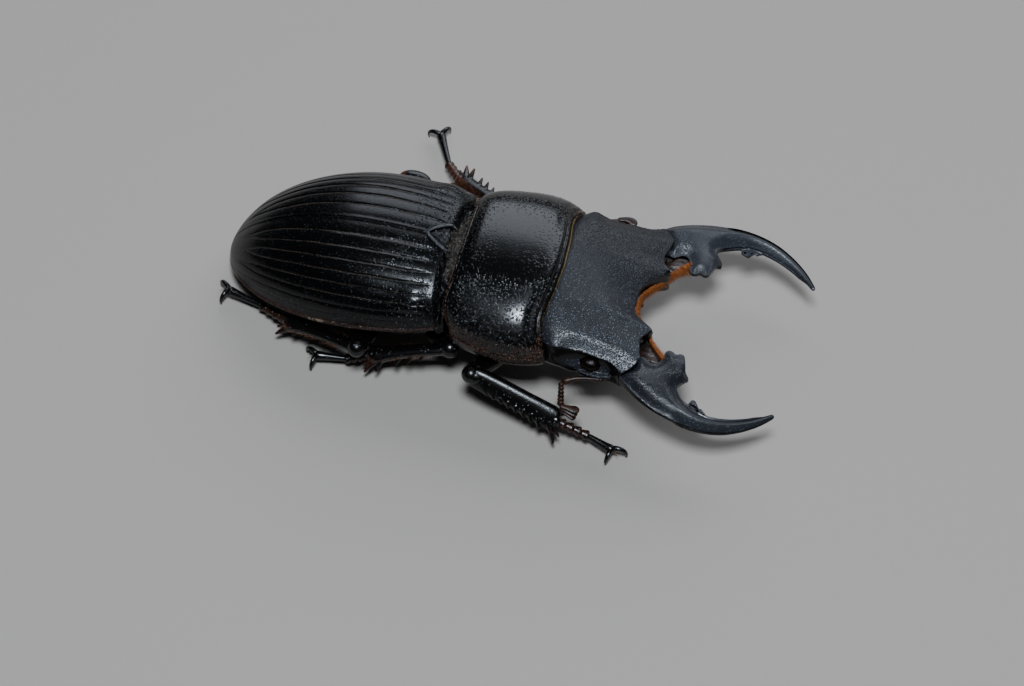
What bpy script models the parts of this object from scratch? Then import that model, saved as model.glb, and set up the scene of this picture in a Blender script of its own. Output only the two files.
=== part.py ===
"""Male stag beetle, Aegus platyodon, life size, standing with its jaws apart.

Every mesh is modelled in millimetres and scaled to metres when it becomes an object. +X runs towards
the head, +Y to the beetle's left and +Z up. While modelling, x = 0 is the tail end of the wing cases and
z = 0 is the ground. At the end one empty carries all the pieces, so that the middle of the underside of
the beetle's box is the origin.
"""

import math
import random

import bmesh
import bpy
from mathutils import Euler, Matrix, Vector

# General sizes, in millimetres
METRES = 0.001
GAP = 0.3                      # space that touching pieces keep
SEED = 7

# Wing cases: the plan is an oval behind the widest place and narrows a little in front of it
WING_LENGTH = 21.6
WING_WIDEST_AT = 14.0
WING_HALF_WIDTH = 8.1
SHOULDER_NARROWING = 1.0       # how much narrower each shoulder is
BACK_HIGHEST_AT = 16.0
BACK_HEIGHT = 10.5
TAIL_CREST_HEIGHT = 1.7
TAIL_EDGE_HEIGHT = 1.2
SHOULDER_EDGE_HEIGHT = 6.35
WING_EDGE_DEPTH = 0.6          # the turned-down rim
WING_RIDGES = 8                # raised intervals between the grooves of one wing case
WING_RIDGE_HEIGHT = 0.16
WING_BASE_SWEEP = 1.0          # how far the shoulder reaches ahead of the suture
SCUTE_TIP = 18.5               # the small triangle between the wing cases
SCUTE_BASE = 21.2
SCUTE_HALF_WIDTH = 1.6
SCUTE_TOP = 10.35
SCUTE_FLOOR = 8.9
BELLY_PLATES = 5

# Pronotum, the shield behind the head
SHIELD_BACK = 21.8
SHIELD_FRONT = 31.0
SHIELD_HALF_WIDTH = 8.85
SHIELD_EDGE_HEIGHT = 6.1
SHIELD_BACK_CREST = 10.2
SHIELD_FRONT_CREST = 10.3
SHIELD_BULGE = 0.95            # rise of the disc above its hind and front edges
SHIELD_RIM = 0.7
STERNUM_HEIGHT = 2.3

# Head
HEAD_HALF_WIDTH = 8.15
HEAD_BACK_CREST = 10.0
HEAD_FRONT_CREST = 7.95
HEAD_EDGE_DROP = 1.2           # crest to side edge, at the back
HEAD_BACK_FLOOR = 3.7
HEAD_FRONT_FLOOR = 4.9
NOTCH_LIP = 1.1                # thickness of the front edge over the brush of hair
HORN_AT = Vector((39.35, 3.0, 7.6))
HORN_RADIUS = 0.55
EYE_AT = Vector((35.3, 6.95, 6.35))
EYE_RADIUS = 1.15

# Jaws
JAW_ROOT_AT = 39.0
JAW_REACH = 13.2               # root to tip, straight ahead
RIGHT_JAW_SHORTER = 0.5
JAW_ROOT_HEIGHT = 6.5
JAW_TIP_HEIGHT = 4.45
LOBE_HEIGHT = 6.62             # middle of the toothed lobe at the root of a jaw

# Brush of hair under the notch
BRUSH_REACH = 4.4
BRUSH_HEIGHT = 6.1
BRUSH_TUFTS = 13

# Legs
HIP_RADIUS = 0.85
KNEE_RADIUS = 0.95
ANKLE_RADIUS = 0.6
CLAW_LENGTH = 1.7

# Hip, knee, ankle, sole and end of each leg, then how far its claws are turned, in degrees
LEGS = {
    "fore_right": ((28.2, -3.3, 3.0), (25.2, -9.7, 4.5), (33.45, -11.15, 2.4), (36.3, -11.25, 1.3),
                   (38.8, -12.0, 1.0), -35),
    "mid_right": ((19.4, -3.3, 2.4), (22.6, -7.3, 4.1), (15.6, -8.5, 2.1), (13.4, -8.8, 1.1),
                  (10.5, -9.1, 1.0), 20),
    "hind_right": ((14.9, -3.6, 2.3), (14.6, -9.3, 4.0), (7.4, -6.9, 2.1), (4.4, -5.2, 1.0),
                   (0.8, -4.3, 1.0), 30),
    "fore_left": ((28.2, 3.3, 3.0), (26.4, 8.3, 4.3), (34.3, 10.0, 2.3), (36.4, 10.5, 1.1),
                  (38.0, 11.5, 1.0), 30),
    "mid_left": ((19.4, 3.3, 2.4), (23.2, 8.7, 4.4), (18.2, 11.8, 2.6), (16.5, 14.2, 1.2),
                 (14.7, 17.7, 1.0), 0),
    "hind_left": ((14.9, 3.6, 2.3), (14.6, 9.5, 4.0), (8.6, 7.9, 2.1), (6.0, 6.7, 1.0),
                  (3.6, 5.9, 1.0), -30),
}


# Numbers and lines

def power(value, exponent):
    """A power that keeps the sign of its base."""
    return math.copysign(abs(value) ** exponent, value)


def blend(first, second, share):
    """The value at a share of the way from one to the other."""
    return first + (second - first) * share


def smooth(places, at):
    """Value at a place on a smooth line through a few (place, value) pairs."""
    if at <= places[0][0]:
        return places[0][1]
    if at >= places[-1][0]:
        return places[-1][1]
    k = max(i for i in range(len(places) - 1) if places[i][0] <= at)

    def slope(i):
        before = places[max(i - 1, 0)]
        after = places[min(i + 1, len(places) - 1)]
        return (after[1] - before[1]) / (after[0] - before[0])

    width = places[k + 1][0] - places[k][0]
    t = (at - places[k][0]) / width
    start = places[k][1] * (1 + 2 * t) * (1 - t) ** 2 + slope(k) * width * t * (1 - t) ** 2
    end = places[k + 1][1] * t * t * (3 - 2 * t) - slope(k + 1) * width * t * t * (1 - t)
    return start + end


def path(points, count):
    """Evenly spread points on a smooth line through a few points in space."""
    marks = range(len(points))
    places = [[(mark, points[mark][axis]) for mark in marks] for axis in range(3)]
    last = len(points) - 1
    return [Vector([smooth(place, last * i / (count - 1)) for place in places]) for i in range(count)]


# Making and joining meshes

def clear_scene():
    for item in list(bpy.data.objects):
        bpy.data.objects.remove(item, do_unlink=True)


def make_object(name, bm):
    """An object from a finished bmesh, still in millimetres."""
    bmesh.ops.recalc_face_normals(bm, faces=bm.faces)
    mesh = bpy.data.meshes.new(name)
    bm.to_mesh(mesh)
    bm.free()
    item = bpy.data.objects.new(name, mesh)
    bpy.context.scene.collection.objects.link(item)
    return item


def loft(rings, name="loft"):
    """A closed skin through rings of equally many points, closed across both end rings."""
    bm = bmesh.new()
    loops = [[bm.verts.new(point) for point in ring] for ring in rings]
    count = len(rings[0])
    for near, far in zip(loops, loops[1:]):
        for i in range(count):
            j = (i + 1) % count
            bm.faces.new((near[i], near[j], far[j], far[i]))
    for loop in (loops[0], loops[-1]):
        for i in range(count // 2 - 1):
            bm.faces.new((loop[i], loop[i + 1], loop[count - 2 - i], loop[count - 1 - i]))
    bmesh.ops.triangulate(bm, faces=bm.faces)
    return make_object(name, bm)


def limb(stations, sides=8, lean=Vector((0, 0, 1))):
    """A loft of ellipses along a line: each station is a centre, half width and half height."""
    rings = []
    for i, (centre, wide, high) in enumerate(stations):
        behind = stations[max(i - 1, 0)][0]
        ahead = stations[min(i + 1, len(stations) - 1)][0]
        along = (Vector(ahead) - Vector(behind)).normalized()
        across = along.cross(lean).normalized()
        upward = across.cross(along)
        turns = [2 * math.pi * k / sides for k in range(sides)]
        rings.append([Vector(centre) + across * wide * math.cos(t) + upward * high * math.sin(t)
                      for t in turns])
    return loft(rings)


def ball(centre, radii, segments=12, rings=8):
    """An ellipsoid from a unit sphere."""
    bm = bmesh.new()
    bmesh.ops.create_uvsphere(bm, u_segments=segments, v_segments=rings, radius=1.0)
    if isinstance(radii, (int, float)):
        radii = (radii, radii, radii)
    bm.transform(Matrix.Translation(Vector(centre)) @ Matrix.Diagonal((*radii, 1.0)))
    return make_object("ball", bm)


def spine(root, tip, radius, sides=5, blunt=0.05):
    """A tapered thorn from its root to its tip."""
    along = Vector(tip) - Vector(root)
    bm = bmesh.new()
    bmesh.ops.create_cone(bm, cap_ends=True, segments=sides, radius1=radius, radius2=blunt,
                          depth=along.length)
    turn = along.to_track_quat("Z", "Y").to_matrix().to_4x4()
    bm.transform(Matrix.Translation((Vector(root) + Vector(tip)) / 2) @ turn)
    return make_object("spine", bm)


def box(low, high):
    """A block between two corners."""
    bm = bmesh.new()
    bmesh.ops.create_cube(bm, size=1.0)
    low, high = Vector(low), Vector(high)
    bm.transform(Matrix.Translation((low + high) / 2) @ Matrix.Diagonal((*(high - low), 1.0)))
    return make_object("box", bm)


def keep_largest_surface(item):
    """Drop every closed surface of a mesh except the one that encloses most."""
    bm = bmesh.new()
    bm.from_mesh(item.data)
    loose = set(bm.verts)
    surfaces = []
    while loose:
        reached = [loose.pop()]
        surface = set(reached)
        while reached:
            for edge in reached.pop().link_edges:
                for vert in edge.verts:
                    if vert in loose:
                        loose.discard(vert)
                        surface.add(vert)
                        reached.append(vert)
        surfaces.append(surface)

    def spread(surface):
        box_size = [max(v.co[a] for v in surface) - min(v.co[a] for v in surface) for a in range(3)]
        return sum(box_size)

    surfaces.sort(key=spread)
    for surface in surfaces[:-1]:
        bmesh.ops.delete(bm, geom=list(surface), context="VERTS")
    bm.to_mesh(item.data)
    bm.free()


def combine(item, others, operation, solver="EXACT"):
    """Join other objects to an object, or cut them from it, and remove them."""
    group = bpy.data.collections.new("pieces")
    bpy.context.scene.collection.children.link(group)
    for other in others:
        group.objects.link(other)
    modifier = item.modifiers.new("combine", "BOOLEAN")
    modifier.operation = operation
    modifier.operand_type = "COLLECTION"
    modifier.collection = group
    modifier.solver = solver
    evaluated = item.evaluated_get(bpy.context.evaluated_depsgraph_get())
    mesh = bpy.data.meshes.new_from_object(evaluated)
    item.modifiers.clear()
    item.data = mesh
    for other in others:
        bpy.data.objects.remove(other, do_unlink=True)
    bpy.data.collections.remove(group)
    keep_largest_surface(item)
    return item


def fuse(item, pieces, solver="EXACT"):
    return combine(item, pieces, "UNION", solver)


def carve(item, cutters, solver="EXACT"):
    return combine(item, cutters, "DIFFERENCE", solver)


# Wing cases

def wing_half_width(x):
    if x < WING_WIDEST_AT:
        return WING_HALF_WIDTH * (1 - ((WING_WIDEST_AT - x) / WING_WIDEST_AT) ** 2) ** 0.55
    ahead = (x - WING_WIDEST_AT) / (WING_LENGTH - WING_WIDEST_AT)
    return WING_HALF_WIDTH - SHOULDER_NARROWING * ahead ** 2


def wing_crest(x):
    if x < BACK_HIGHEST_AT:
        share = (1 - ((BACK_HIGHEST_AT - x) / BACK_HIGHEST_AT) ** 2) ** 0.62
        return blend(TAIL_CREST_HEIGHT, BACK_HEIGHT, share)
    return BACK_HEIGHT - 0.3 * ((x - BACK_HIGHEST_AT) / (WING_LENGTH - BACK_HIGHEST_AT)) ** 2


def wing_edge(x):
    return blend(TAIL_EDGE_HEIGHT, SHOULDER_EDGE_HEIGHT, (x / WING_LENGTH) ** 0.6)


def wing_base(y):
    """Front edge of the wing cases, furthest forward at the shoulders."""
    return WING_LENGTH - WING_BASE_SWEEP * (1 - (y / WING_HALF_WIDTH) ** 4)


def wing_ring(x, side):
    """Half a dome with lengthwise ridges, closed by a turned-down rim and a flat underside."""
    columns = 2 * WING_RIDGES
    half, crest, edge = wing_half_width(x), wing_crest(x), wing_edge(x)
    inner = GAP / 2
    fade = min(1.0, x / 3.0) * min(1.0, (WING_LENGTH - x) / 2.0)
    top = []
    for column in range(columns + 1):
        turn = math.pi / 2 * column / columns
        raised = WING_RIDGE_HEIGHT * fade * (column % 2)
        y = inner + (half - inner) * math.sin(turn) ** 0.9 + raised * math.sin(turn)
        z = edge + (crest - edge) * math.cos(turn) ** 0.9 + raised * math.cos(turn)
        top.append((y, z))
    below = edge - WING_EDGE_DEPTH
    bottom = []
    for column in range(columns, -1, -1):
        turn = math.pi / 2 * column / columns
        y = inner + (half - 0.25 * WING_EDGE_DEPTH - inner) * math.sin(turn) ** 0.9
        bottom.append((y, below))
    ring = []
    for y, z in top + bottom:
        ring.append((x * wing_base(y) / WING_LENGTH, side * y, z))
    return ring


def wing_case(side):
    steps = 18
    first = 0.12
    stations = [first + (WING_LENGTH - first) * (1 - math.cos(math.pi / 2 * i / steps)) ** 0.92
                for i in range(steps + 1)]
    return loft([wing_ring(x, side) for x in stations])


# Middle and hind body

def belly_ring(x, top, half, floor, waist):
    """A section with a flat top and a rounded keel below."""
    columns = 8
    upper = []
    lower = []
    for column in range(columns + 1):
        turn = math.pi * column / columns
        y = half * math.cos(turn)
        upper.append((x, y, top))
        rise = power(math.sin(turn), waist)
        lower.append((x, 0.97 * y, blend(top - 0.5, floor, rise)))
    return upper + lower[::-1]


def belly():
    """Five plates under the wing cases, each a little proud of the next."""
    start, end = 1.6, 13.2
    steps = 3 * BELLY_PLATES
    rings = []
    for i in range(steps + 1):
        x = blend(start, end, i / steps)
        proud = 0.18 * (i % 3 != 0)
        top = wing_edge(x) - WING_EDGE_DEPTH - GAP
        floor = smooth([(start, 0.95), (5.0, 1.25), (end, 1.9)], x) - proud
        half = wing_half_width(x) - 2.2 + 0.5 * proud
        rings.append(belly_ring(x, top, half, min(floor, top - 0.75), 0.75))
    return loft(rings)


def hind_body():
    """The body between the wing cases and the middle and hind legs."""
    rings = []
    for x in [13.5, 15.5, 17.5, 19.5, 20.8, 21.3]:
        top = wing_edge(min(x, 20.5)) - WING_EDGE_DEPTH - GAP
        half = wing_half_width(x) - smooth([(13.5, 1.5), (16.0, 1.0), (20.0, 1.0), (21.3, 1.6)], x)
        floor = smooth([(13.5, 2.0), (15.5, 1.7), (19.5, 1.8), (21.3, 2.6)], x)
        rings.append(belly_ring(x, top, half, floor, 0.8))
    return loft(rings)


def scute_plate(extra=0.0):
    """The triangle between the wing cases, grown all round by an extra width."""
    top, floor = SCUTE_TOP + extra, SCUTE_FLOOR - extra
    rings = []
    for share in (0.0, 0.5, 1.0):
        x = blend(SCUTE_TIP - 2 * extra, SCUTE_BASE + extra, share)
        y = blend(0.25, SCUTE_HALF_WIDTH, share) + extra
        rings.append([(x, y, top - 0.1), (x, 0.35 * y, top), (x, -0.35 * y, top), (x, -y, top - 0.1),
                      (x, -y, floor), (x, -0.35 * y, floor), (x, 0.35 * y, floor), (x, y, floor)])
    return loft(rings)


def little_shield():
    """The scutellum plate and the strip that carries it between the pronotum and the wing cases."""
    reach = 4.6
    strip = []
    for i in range(11):
        y = blend(-reach, reach, i / 10)
        top = 9.75 - 0.9 * abs(y / reach) ** 2
        back = wing_base(y) + GAP
        front = shield_back(y) - GAP
        strip.append([(back, y, top - 1.6), (back, y, top), (front, y, top), (front, y, top - 1.6)])
    return fuse(scute_plate(), [loft(strip)])


# Pronotum with the fore body under it

def shield_front(y):
    """Front edge of the pronotum, drawn back on both sides of the neck."""
    drawn = [(0.0, 0.0), (3.0, -0.2), (5.2, -0.5), (6.6, -0.25), (7.6, 0.4), (8.4, 0.6)]
    return SHIELD_FRONT + smooth(drawn, abs(y))


def shield_back(y):
    drawn = [(0.0, 0.0), (4.0, -0.05), (5.8, -0.2), (6.9, 0.15), (7.5, 0.7)]
    return SHIELD_BACK + smooth(drawn, abs(y))


def shield_half_width(share):
    inset = [(0.0, 1.75), (0.06, 1.1), (0.2, 0.55), (0.42, 0.15), (0.65, 0.0), (0.85, 0.3), (0.95, 0.65),
             (1.0, 0.95)]
    return SHIELD_HALF_WIDTH - smooth(inset, share)


def shield():
    columns = 20
    shares = [0.0, 0.03, 0.09, 0.18, 0.3, 0.45, 0.6, 0.75, 0.86, 0.94, 1.0]
    rings = []
    for share in shares:
        half = shield_half_width(share)
        rolled = 1 - (2 * share - 1) ** 6
        crest = blend(SHIELD_BACK_CREST, SHIELD_FRONT_CREST, share) + SHIELD_BULGE * rolled - 0.2
        edge = SHIELD_EDGE_HEIGHT + 0.15 * rolled
        keel = blend(edge - SHIELD_RIM, STERNUM_HEIGHT, smooth([(0, 0.55), (0.25, 1), (1, 0.75)], share))
        upper = []
        lower = []
        for column in range(columns + 1):
            turn = math.pi * column / columns
            y = half * power(math.cos(turn), 0.9)
            z = edge + (crest - edge) * math.sin(turn) ** 0.85
            x = blend(shield_back(y * 7.5 / half), shield_front(y * 8.4 / half), share)
            upper.append((x, y, z))
            bulge = 1 / (1 + (abs(y) / 4.3) ** 4)
            lower.append((x, 0.985 * y, blend(edge - SHIELD_RIM, keel, bulge)))
        rings.append(upper + lower[::-1])
    return loft(rings)


# Head

HALF_COLUMNS = [0.0, 0.1, 0.2, 0.27, 0.33, 0.39, 0.45, 0.52, 0.65, 0.8, 0.92, 1.0]
HEAD_COLUMNS = HALF_COLUMNS[::-1] + [-place for place in HALF_COLUMNS[1:]]


def head_front(y):
    """Front edge of the head: a wide notch between two horns, then the seat of each jaw."""
    edge = [(0.0, 37.7), (0.9, 37.85), (1.6, 38.25), (2.2, 38.8), (2.8, 39.35), (3.4, 39.3), (4.1, 38.9),
            (5.2, 38.85), (6.5, 38.95), (7.4, 38.8), (8.15, 38.4)]
    return smooth(edge, abs(y))


def head_half_width(share):
    inset = [(0.0, 1.0), (0.12, 0.6), (0.3, 0.4), (0.55, 0.45), (0.8, 0.25), (1.0, 0.0)]
    return HEAD_HALF_WIDTH - smooth(inset, share)


def head_underside(x):
    return blend(HEAD_BACK_FLOOR, HEAD_FRONT_FLOOR, (x - 31.3) / 7.5)


def head():
    rings = []
    for share in (0.0, 0.08, 0.25, 0.45, 0.65, 0.82, 0.93, 1.0):
        half = head_half_width(share)
        upper = []
        lower = []
        for place in HEAD_COLUMNS:
            y = half * place
            back = shield_front(y) + 1.5 * GAP
            x = blend(back, head_front(y * HEAD_HALF_WIDTH / half), share)
            crest = blend(HEAD_BACK_CREST, HEAD_FRONT_CREST, share ** 1.15)
            rounding = blend(HEAD_EDGE_DROP + 0.9, 0.25, share) * abs(place) ** 3.2
            dip = 0.55 * share ** 4 * math.exp(-(y / 1.9) ** 2)
            upper.append((x, y, crest - rounding - dip))
            keel = 1 - abs(place) ** 2.6
            floor = blend(crest - rounding - 2.6, head_underside(x), keel)
            lip = share ** 6 * math.exp(-(y / 2.6) ** 4)
            floor = blend(floor, crest - dip - NOTCH_LIP, lip)
            lower.append((x, 0.96 * y, min(floor, crest - rounding - dip - NOTCH_LIP)))
        rings.append(upper + lower[::-1])
    skull = loft(rings)
    return fuse(skull, [horn(1), horn(-1)])


def horn(side, extra=0.0):
    """The blunt tubercle beside the notch."""
    slim = 0.8 * HORN_RADIUS + extra
    return ball((HORN_AT.x, side * HORN_AT.y, HORN_AT.z), (HORN_RADIUS + extra, slim, slim), 8, 6)


def head_front_block():
    """The room that the front of the head takes, with the gap, for cutting what meets it."""
    rings = []
    for place in [1.12] + HEAD_COLUMNS + [-1.12]:
        y = HEAD_HALF_WIDTH * place
        x = head_front(y) + GAP
        rings.append([(x - 3.0, y, 3.0), (x - 3.0, y, 9.5), (x, y, 9.5), (x, y, 3.0)])
    return loft(rings)


def eye(side, extra=0.0):
    return ball((EYE_AT.x, side * EYE_AT.y, EYE_AT.z), EYE_RADIUS + extra)


def chin():
    """The mentum, a plate under the head."""
    rings = []
    for share in (0.0, 0.2, 0.6, 1.0):
        x = blend(33.2, 37.0, share)
        top = head_underside(x) - GAP
        half = smooth([(0.0, 2.2), (0.2, 3.2), (0.6, 3.6), (1.0, 2.6)], share)
        rings.append([(x, half, top), (x, half / 3, top), (x, -half / 3, top), (x, -half, top),
                      (x, -half, top - 0.6), (x, -half / 3, top - 0.85), (x, half / 3, top - 0.85),
                      (x, half, top - 0.6)])
    return loft(rings)


def fringe():
    """The brush of hair that lines the notch, running out to the inner side of both jaws."""
    clear = GAP + 0.3
    draw = random.Random(SEED)
    line = []
    tufts = []
    for i in range(BRUSH_TUFTS):
        y = blend(-BRUSH_REACH, BRUSH_REACH, i / (BRUSH_TUFTS - 1))
        slant = (head_front(y + 0.2) - head_front(y - 0.2)) / 0.4
        outward = Vector((1.0, -slant, 0.0)).normalized()
        root = Vector((head_front(y), y, BRUSH_HEIGHT)) + clear * outward
        line.append((root, 0.27, 0.4))
        heading = (outward + Vector((0.7, 0, blend(-0.5, -0.1, draw.random())))).normalized()
        tufts.append(spine(root, root + heading * blend(0.55, 0.8, draw.random()), 0.25, 4, 0.1))
    brush = fuse(limb(line, sides=6), tufts)
    return carve(brush, [head_front_block(), horn(1, GAP), horn(-1, GAP)])


# Jaws

def jaw_height(x):
    return blend(JAW_ROOT_HEIGHT, JAW_TIP_HEIGHT, max(0.0, (x - JAW_ROOT_AT) / JAW_REACH))


def jaw(side):
    """A sickle from a broad root, with a toothed lobe inside and one small tooth further out."""
    outer = [(38.75, 8.3), (40.0, 9.1), (42.2, 10.05), (44.5, 10.6), (47.0, 10.4), (49.0, 9.7),
             (51.1, 8.3), (52.2, 7.15)]
    inner = [(39.75, 4.9), (40.5, 6.2), (42.0, 7.3), (44.3, 8.6), (46.4, 9.05), (48.3, 8.75),
             (50.4, 7.85), (52.1, 6.9)]
    if side < 0:
        outer[-1] = (outer[-1][0] - RIGHT_JAW_SHORTER, outer[-1][1])
        inner[-1] = (inner[-1][0] - RIGHT_JAW_SHORTER, inner[-1][1])
    stations = []
    thickness = [1.2, 1.2, 1.0, 0.8, 0.7, 0.6, 0.45, 0.2]
    for (ox, oy), (ix, iy), high in zip(outer, inner, thickness):
        middle = Vector(((ox + ix) / 2, side * (oy + iy) / 2, 0))
        middle.z = jaw_height(middle.x)
        across = Vector((ox - ix, side * (oy - iy), 0))
        stations.append((middle, across, high))
    rings = []
    count = 15
    centres = path([middle for middle, across, high in stations], count)
    widths = path([across for middle, across, high in stations], count)
    heights = path([Vector((high, 0, 0)) for middle, across, high in stations], count)
    for centre, across, high in zip(centres, widths, heights):
        ring = []
        for k in range(10):
            turn = 2 * math.pi * k / 10
            ring.append(centre + across / 2 * power(math.cos(turn), 0.8)
                        + Vector((0, 0, high.x * power(math.sin(turn), 0.8))))
        rings.append(ring)
    sickle = loft(rings)
    lobe_rings = []
    centre = LOBE_HEIGHT
    for x, near, far, high in [(40.2, 7.2, 4.9, 0.7), (41.0, 7.8, 4.8, 0.75), (42.0, 8.0, 4.75, 0.75),
                               (43.0, 8.2, 4.85, 0.65), (43.5, 7.7, 5.5, 0.5)]:
        lobe_rings.append([(x, side * near, centre + high), (x, side * blend(near, far, 0.5), centre + high),
                           (x, side * far, centre + 0.55 * high), (x, side * far, centre - 0.55 * high),
                           (x, side * blend(near, far, 0.5), centre - high),
                           (x, side * near, centre - high)])
    lobe = loft(lobe_rings)
    teeth = []
    for root, tip, radius, z in [((41.65, 5.4), (41.68, 4.15), 0.55, LOBE_HEIGHT),
                                 ((42.8, 5.4), (43.0, 4.3), 0.55, LOBE_HEIGHT),
                                 ((43.2, 6.3), (43.95, 6.25), 0.45, LOBE_HEIGHT),
                                 ((45.3, 9.2), (45.5, 8.4), 0.4, jaw_height(45.5))]:
        teeth.append(spine((root[0], side * root[1], z), (tip[0], side * tip[1], z), radius,
                           sides=6, blunt=0.16))
    return carve(fuse(sickle, [lobe] + teeth), [head_front_block()])


# Feelers and mouth feelers

def feeler(side):
    """An elbowed antenna: a long first joint, a few beads and a club of three plates."""
    elbow = Vector((33.2, side * 8.95, 5.3))
    scape = [(Vector((36.4, side * 8.1, 5.55)), 0.26, 0.26), (Vector((34.6, side * 8.35, 5.6)), 0.26, 0.3),
             (elbow, 0.34, 0.34)]
    wrist = Vector((33.55, side * 10.5, 4.1))
    beads = []
    for share, radius in ((0.0, 0.28), (0.3, 0.32), (0.4, 0.26), (0.7, 0.32), (0.8, 0.26), (1.0, 0.32)):
        beads.append((blend(elbow, wrist, share), radius, radius))
    pieces = [limb(beads, sides=6)]
    for k in range(3):
        root = wrist + Vector((-0.05, side * 0.2, -0.3 * k + 0.1))
        tip = wrist + Vector((1.75 - 0.12 * k, side * (0.1 + 0.15 * k), -0.38 * k - 0.1))
        pieces.append(limb([(root, 0.28, 0.26), (blend(root, tip, 0.6), 0.4, 0.26), (tip, 0.26, 0.25)],
                           sides=6))
    return fuse(limb(scape, sides=6), pieces)


def palp(root, tip, side):
    """A short mouth feeler of three joints."""
    root = Vector((root[0], side * root[1], root[2]))
    tip = Vector((tip[0], side * tip[1], tip[2]))
    stations = []
    for share, radius in ((0.0, 0.26), (0.28, 0.34), (0.34, 0.26), (0.62, 0.34), (0.68, 0.26), (1.0, 0.3)):
        stations.append((blend(root, tip, share), radius, radius))
    return limb(stations, sides=6)


# Legs

def sides_of(name):
    return -1 if name.endswith("right") else 1


def coxa(name, extra=0.0):
    """The hip piece, an egg sunk in the underside."""
    hip = Vector(LEGS[name][0])
    middle = hip + Vector((0.2, -1.3 * sides_of(name), 0.45))
    return ball(middle, (1.15 + extra, 1.35 + extra, 1.1 + extra), 10, 6)


def rounded_end(centre, outward, radius):
    """Stations of a limb's round end, from its equator to its pole."""
    turns = [math.radians(angle) for angle in (0, 45, 75)]
    return [(centre + outward * radius * math.sin(t), radius * math.cos(t), radius * math.cos(t))
            for t in turns]


def femur(name, extra=0.0):
    """The thigh, flattened along its middle, with a round hip end and a round knee."""
    hip, knee = Vector(LEGS[name][0]), Vector(LEGS[name][1])
    along = (knee - hip).normalized()
    stations = rounded_end(hip, -along, HIP_RADIUS + extra)[::-1]
    for share, wide, high in ((0.25, 1.0, 0.75), (0.6, 1.15, 0.8)):
        stations.append((blend(hip, knee, share), wide + extra, high + extra))
    stations.append((knee - along * KNEE_RADIUS, 0.78 + extra, 0.68 + extra))
    stations += rounded_end(knee, along, KNEE_RADIUS + extra)
    return limb(stations, sides=10)


def tibia(name):
    """The shin, flat and toothed on a fore leg, slim and thorned on the others."""
    knee, ankle = Vector(LEGS[name][1]), Vector(LEGS[name][2])
    along = (ankle - knee).normalized()
    outward = along.cross(Vector((0, 0, 1))).normalized() * (1 if name.endswith("right") else -1)
    fore = name.startswith("fore")
    sizes = [(0.0, 0.55, 0.5), (0.2, 0.62, 0.52), (0.6, 0.75, 0.55), (0.92, 1.0, 0.6)]
    if fore:
        sizes = [(0.0, 0.6, 0.55), (0.2, 0.85, 0.6), (0.6, 1.05, 0.62), (0.92, 1.25, 0.62)]
    stations = [(blend(knee, ankle, share), wide, high) for share, wide, high in sizes]
    shaft = limb(stations + rounded_end(ankle, along, ANKLE_RADIUS), sides=8)
    width = 0.95 if fore else 0.7
    shares = (0.28, 0.4, 0.52, 0.64, 0.77) if fore else (0.42, 0.6, 0.8)
    thorns = []
    for share in shares:
        root = blend(knee, ankle, share) + outward * 0.4 * width
        reach = outward * (0.45 + width) + along * 0.45
        thorns.append(spine(root, root + reach * blend(0.75, 1.0, share), 0.34, sides=4, blunt=0.08))
    heel = blend(knee, ankle, 0.93)
    thorns.append(spine(heel + outward * 0.3, heel + outward * (1.0 + width) + along * 1.1, 0.42))
    thorns.append(spine(heel - outward * 0.3, heel - outward * 1.1 + along * 1.3, 0.3))
    return carve(fuse(shaft, thorns), [femur(name, GAP)])


def tarsus(name):
    """Four short joints, one long one and two hooked claws, flat where they stand on the ground."""
    ankle, sole, end = (Vector(point) for point in LEGS[name][2:5])
    joints = []
    for k in range(4):
        first, last = k / 4, (k + 0.75) / 4
        joints.append((blend(ankle, sole, first), 0.27, 0.27))
        joints.append((blend(ankle, sole, last), 0.42, 0.38))
    foot = joints + [(blend(sole, end, 0.05), 0.27, 0.27), (blend(sole, end, 0.85), 0.4, 0.42), (end, 0.3, 0.3)]
    body = limb(foot, sides=6)
    along = Vector((end.x - sole.x, end.y - sole.y, 0)).normalized()
    along.rotate(Euler((0, 0, math.radians(LEGS[name][5]))))
    across = along.cross(Vector((0, 0, 1)))
    claws = []
    for side in (1, -1):
        heading = (along * 0.6 + across * side * 0.8).normalized()
        line = []
        for share in (0.0, 0.4, 0.75, 1.0):
            reach = CLAW_LENGTH * math.sin(share * math.radians(80))
            drop = 1.15 * (1 - math.cos(share * math.radians(80))) / (1 - math.cos(math.radians(80)))
            point = end - along * 0.25 + heading * reach + Vector((0, 0, 0.1 - drop))
            line.append((point, blend(0.27, 0.17, share), blend(0.27, 0.17, share)))
        claws.append(limb(line, sides=6))
    ground = box((end.x - 12, end.y - 12, -6), (end.x + 12, end.y + 12, 0))
    socket = ball(ankle, ANKLE_RADIUS + GAP, 10, 6)
    return carve(fuse(body, claws, "MANIFOLD"), [ground, socket], "MANIFOLD")


# Colours and assembly

def finish(name, colour, roughness):
    material = bpy.data.materials.new(name + " shell")
    material.use_nodes = True
    shader = material.node_tree.nodes["Principled BSDF"]
    shader.inputs["Base Color"].default_value = (*colour, 1.0)
    shader.inputs["Roughness"].default_value = roughness
    shader.inputs["Metallic"].default_value = 0.0
    return material


BLACK_GLOSS = ((0.008, 0.008, 0.009), 0.2)
BLACK_MATTE = ((0.02, 0.021, 0.024), 0.5)
BROWN_GLOSS = ((0.03, 0.012, 0.008), 0.25)
ORANGE_HAIR = ((0.75, 0.22, 0.03), 0.7)
EYE_BLACK = ((0.012, 0.007, 0.005), 0.08)
GRIT = ((0.09, 0.07, 0.05), 0.8)


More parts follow.
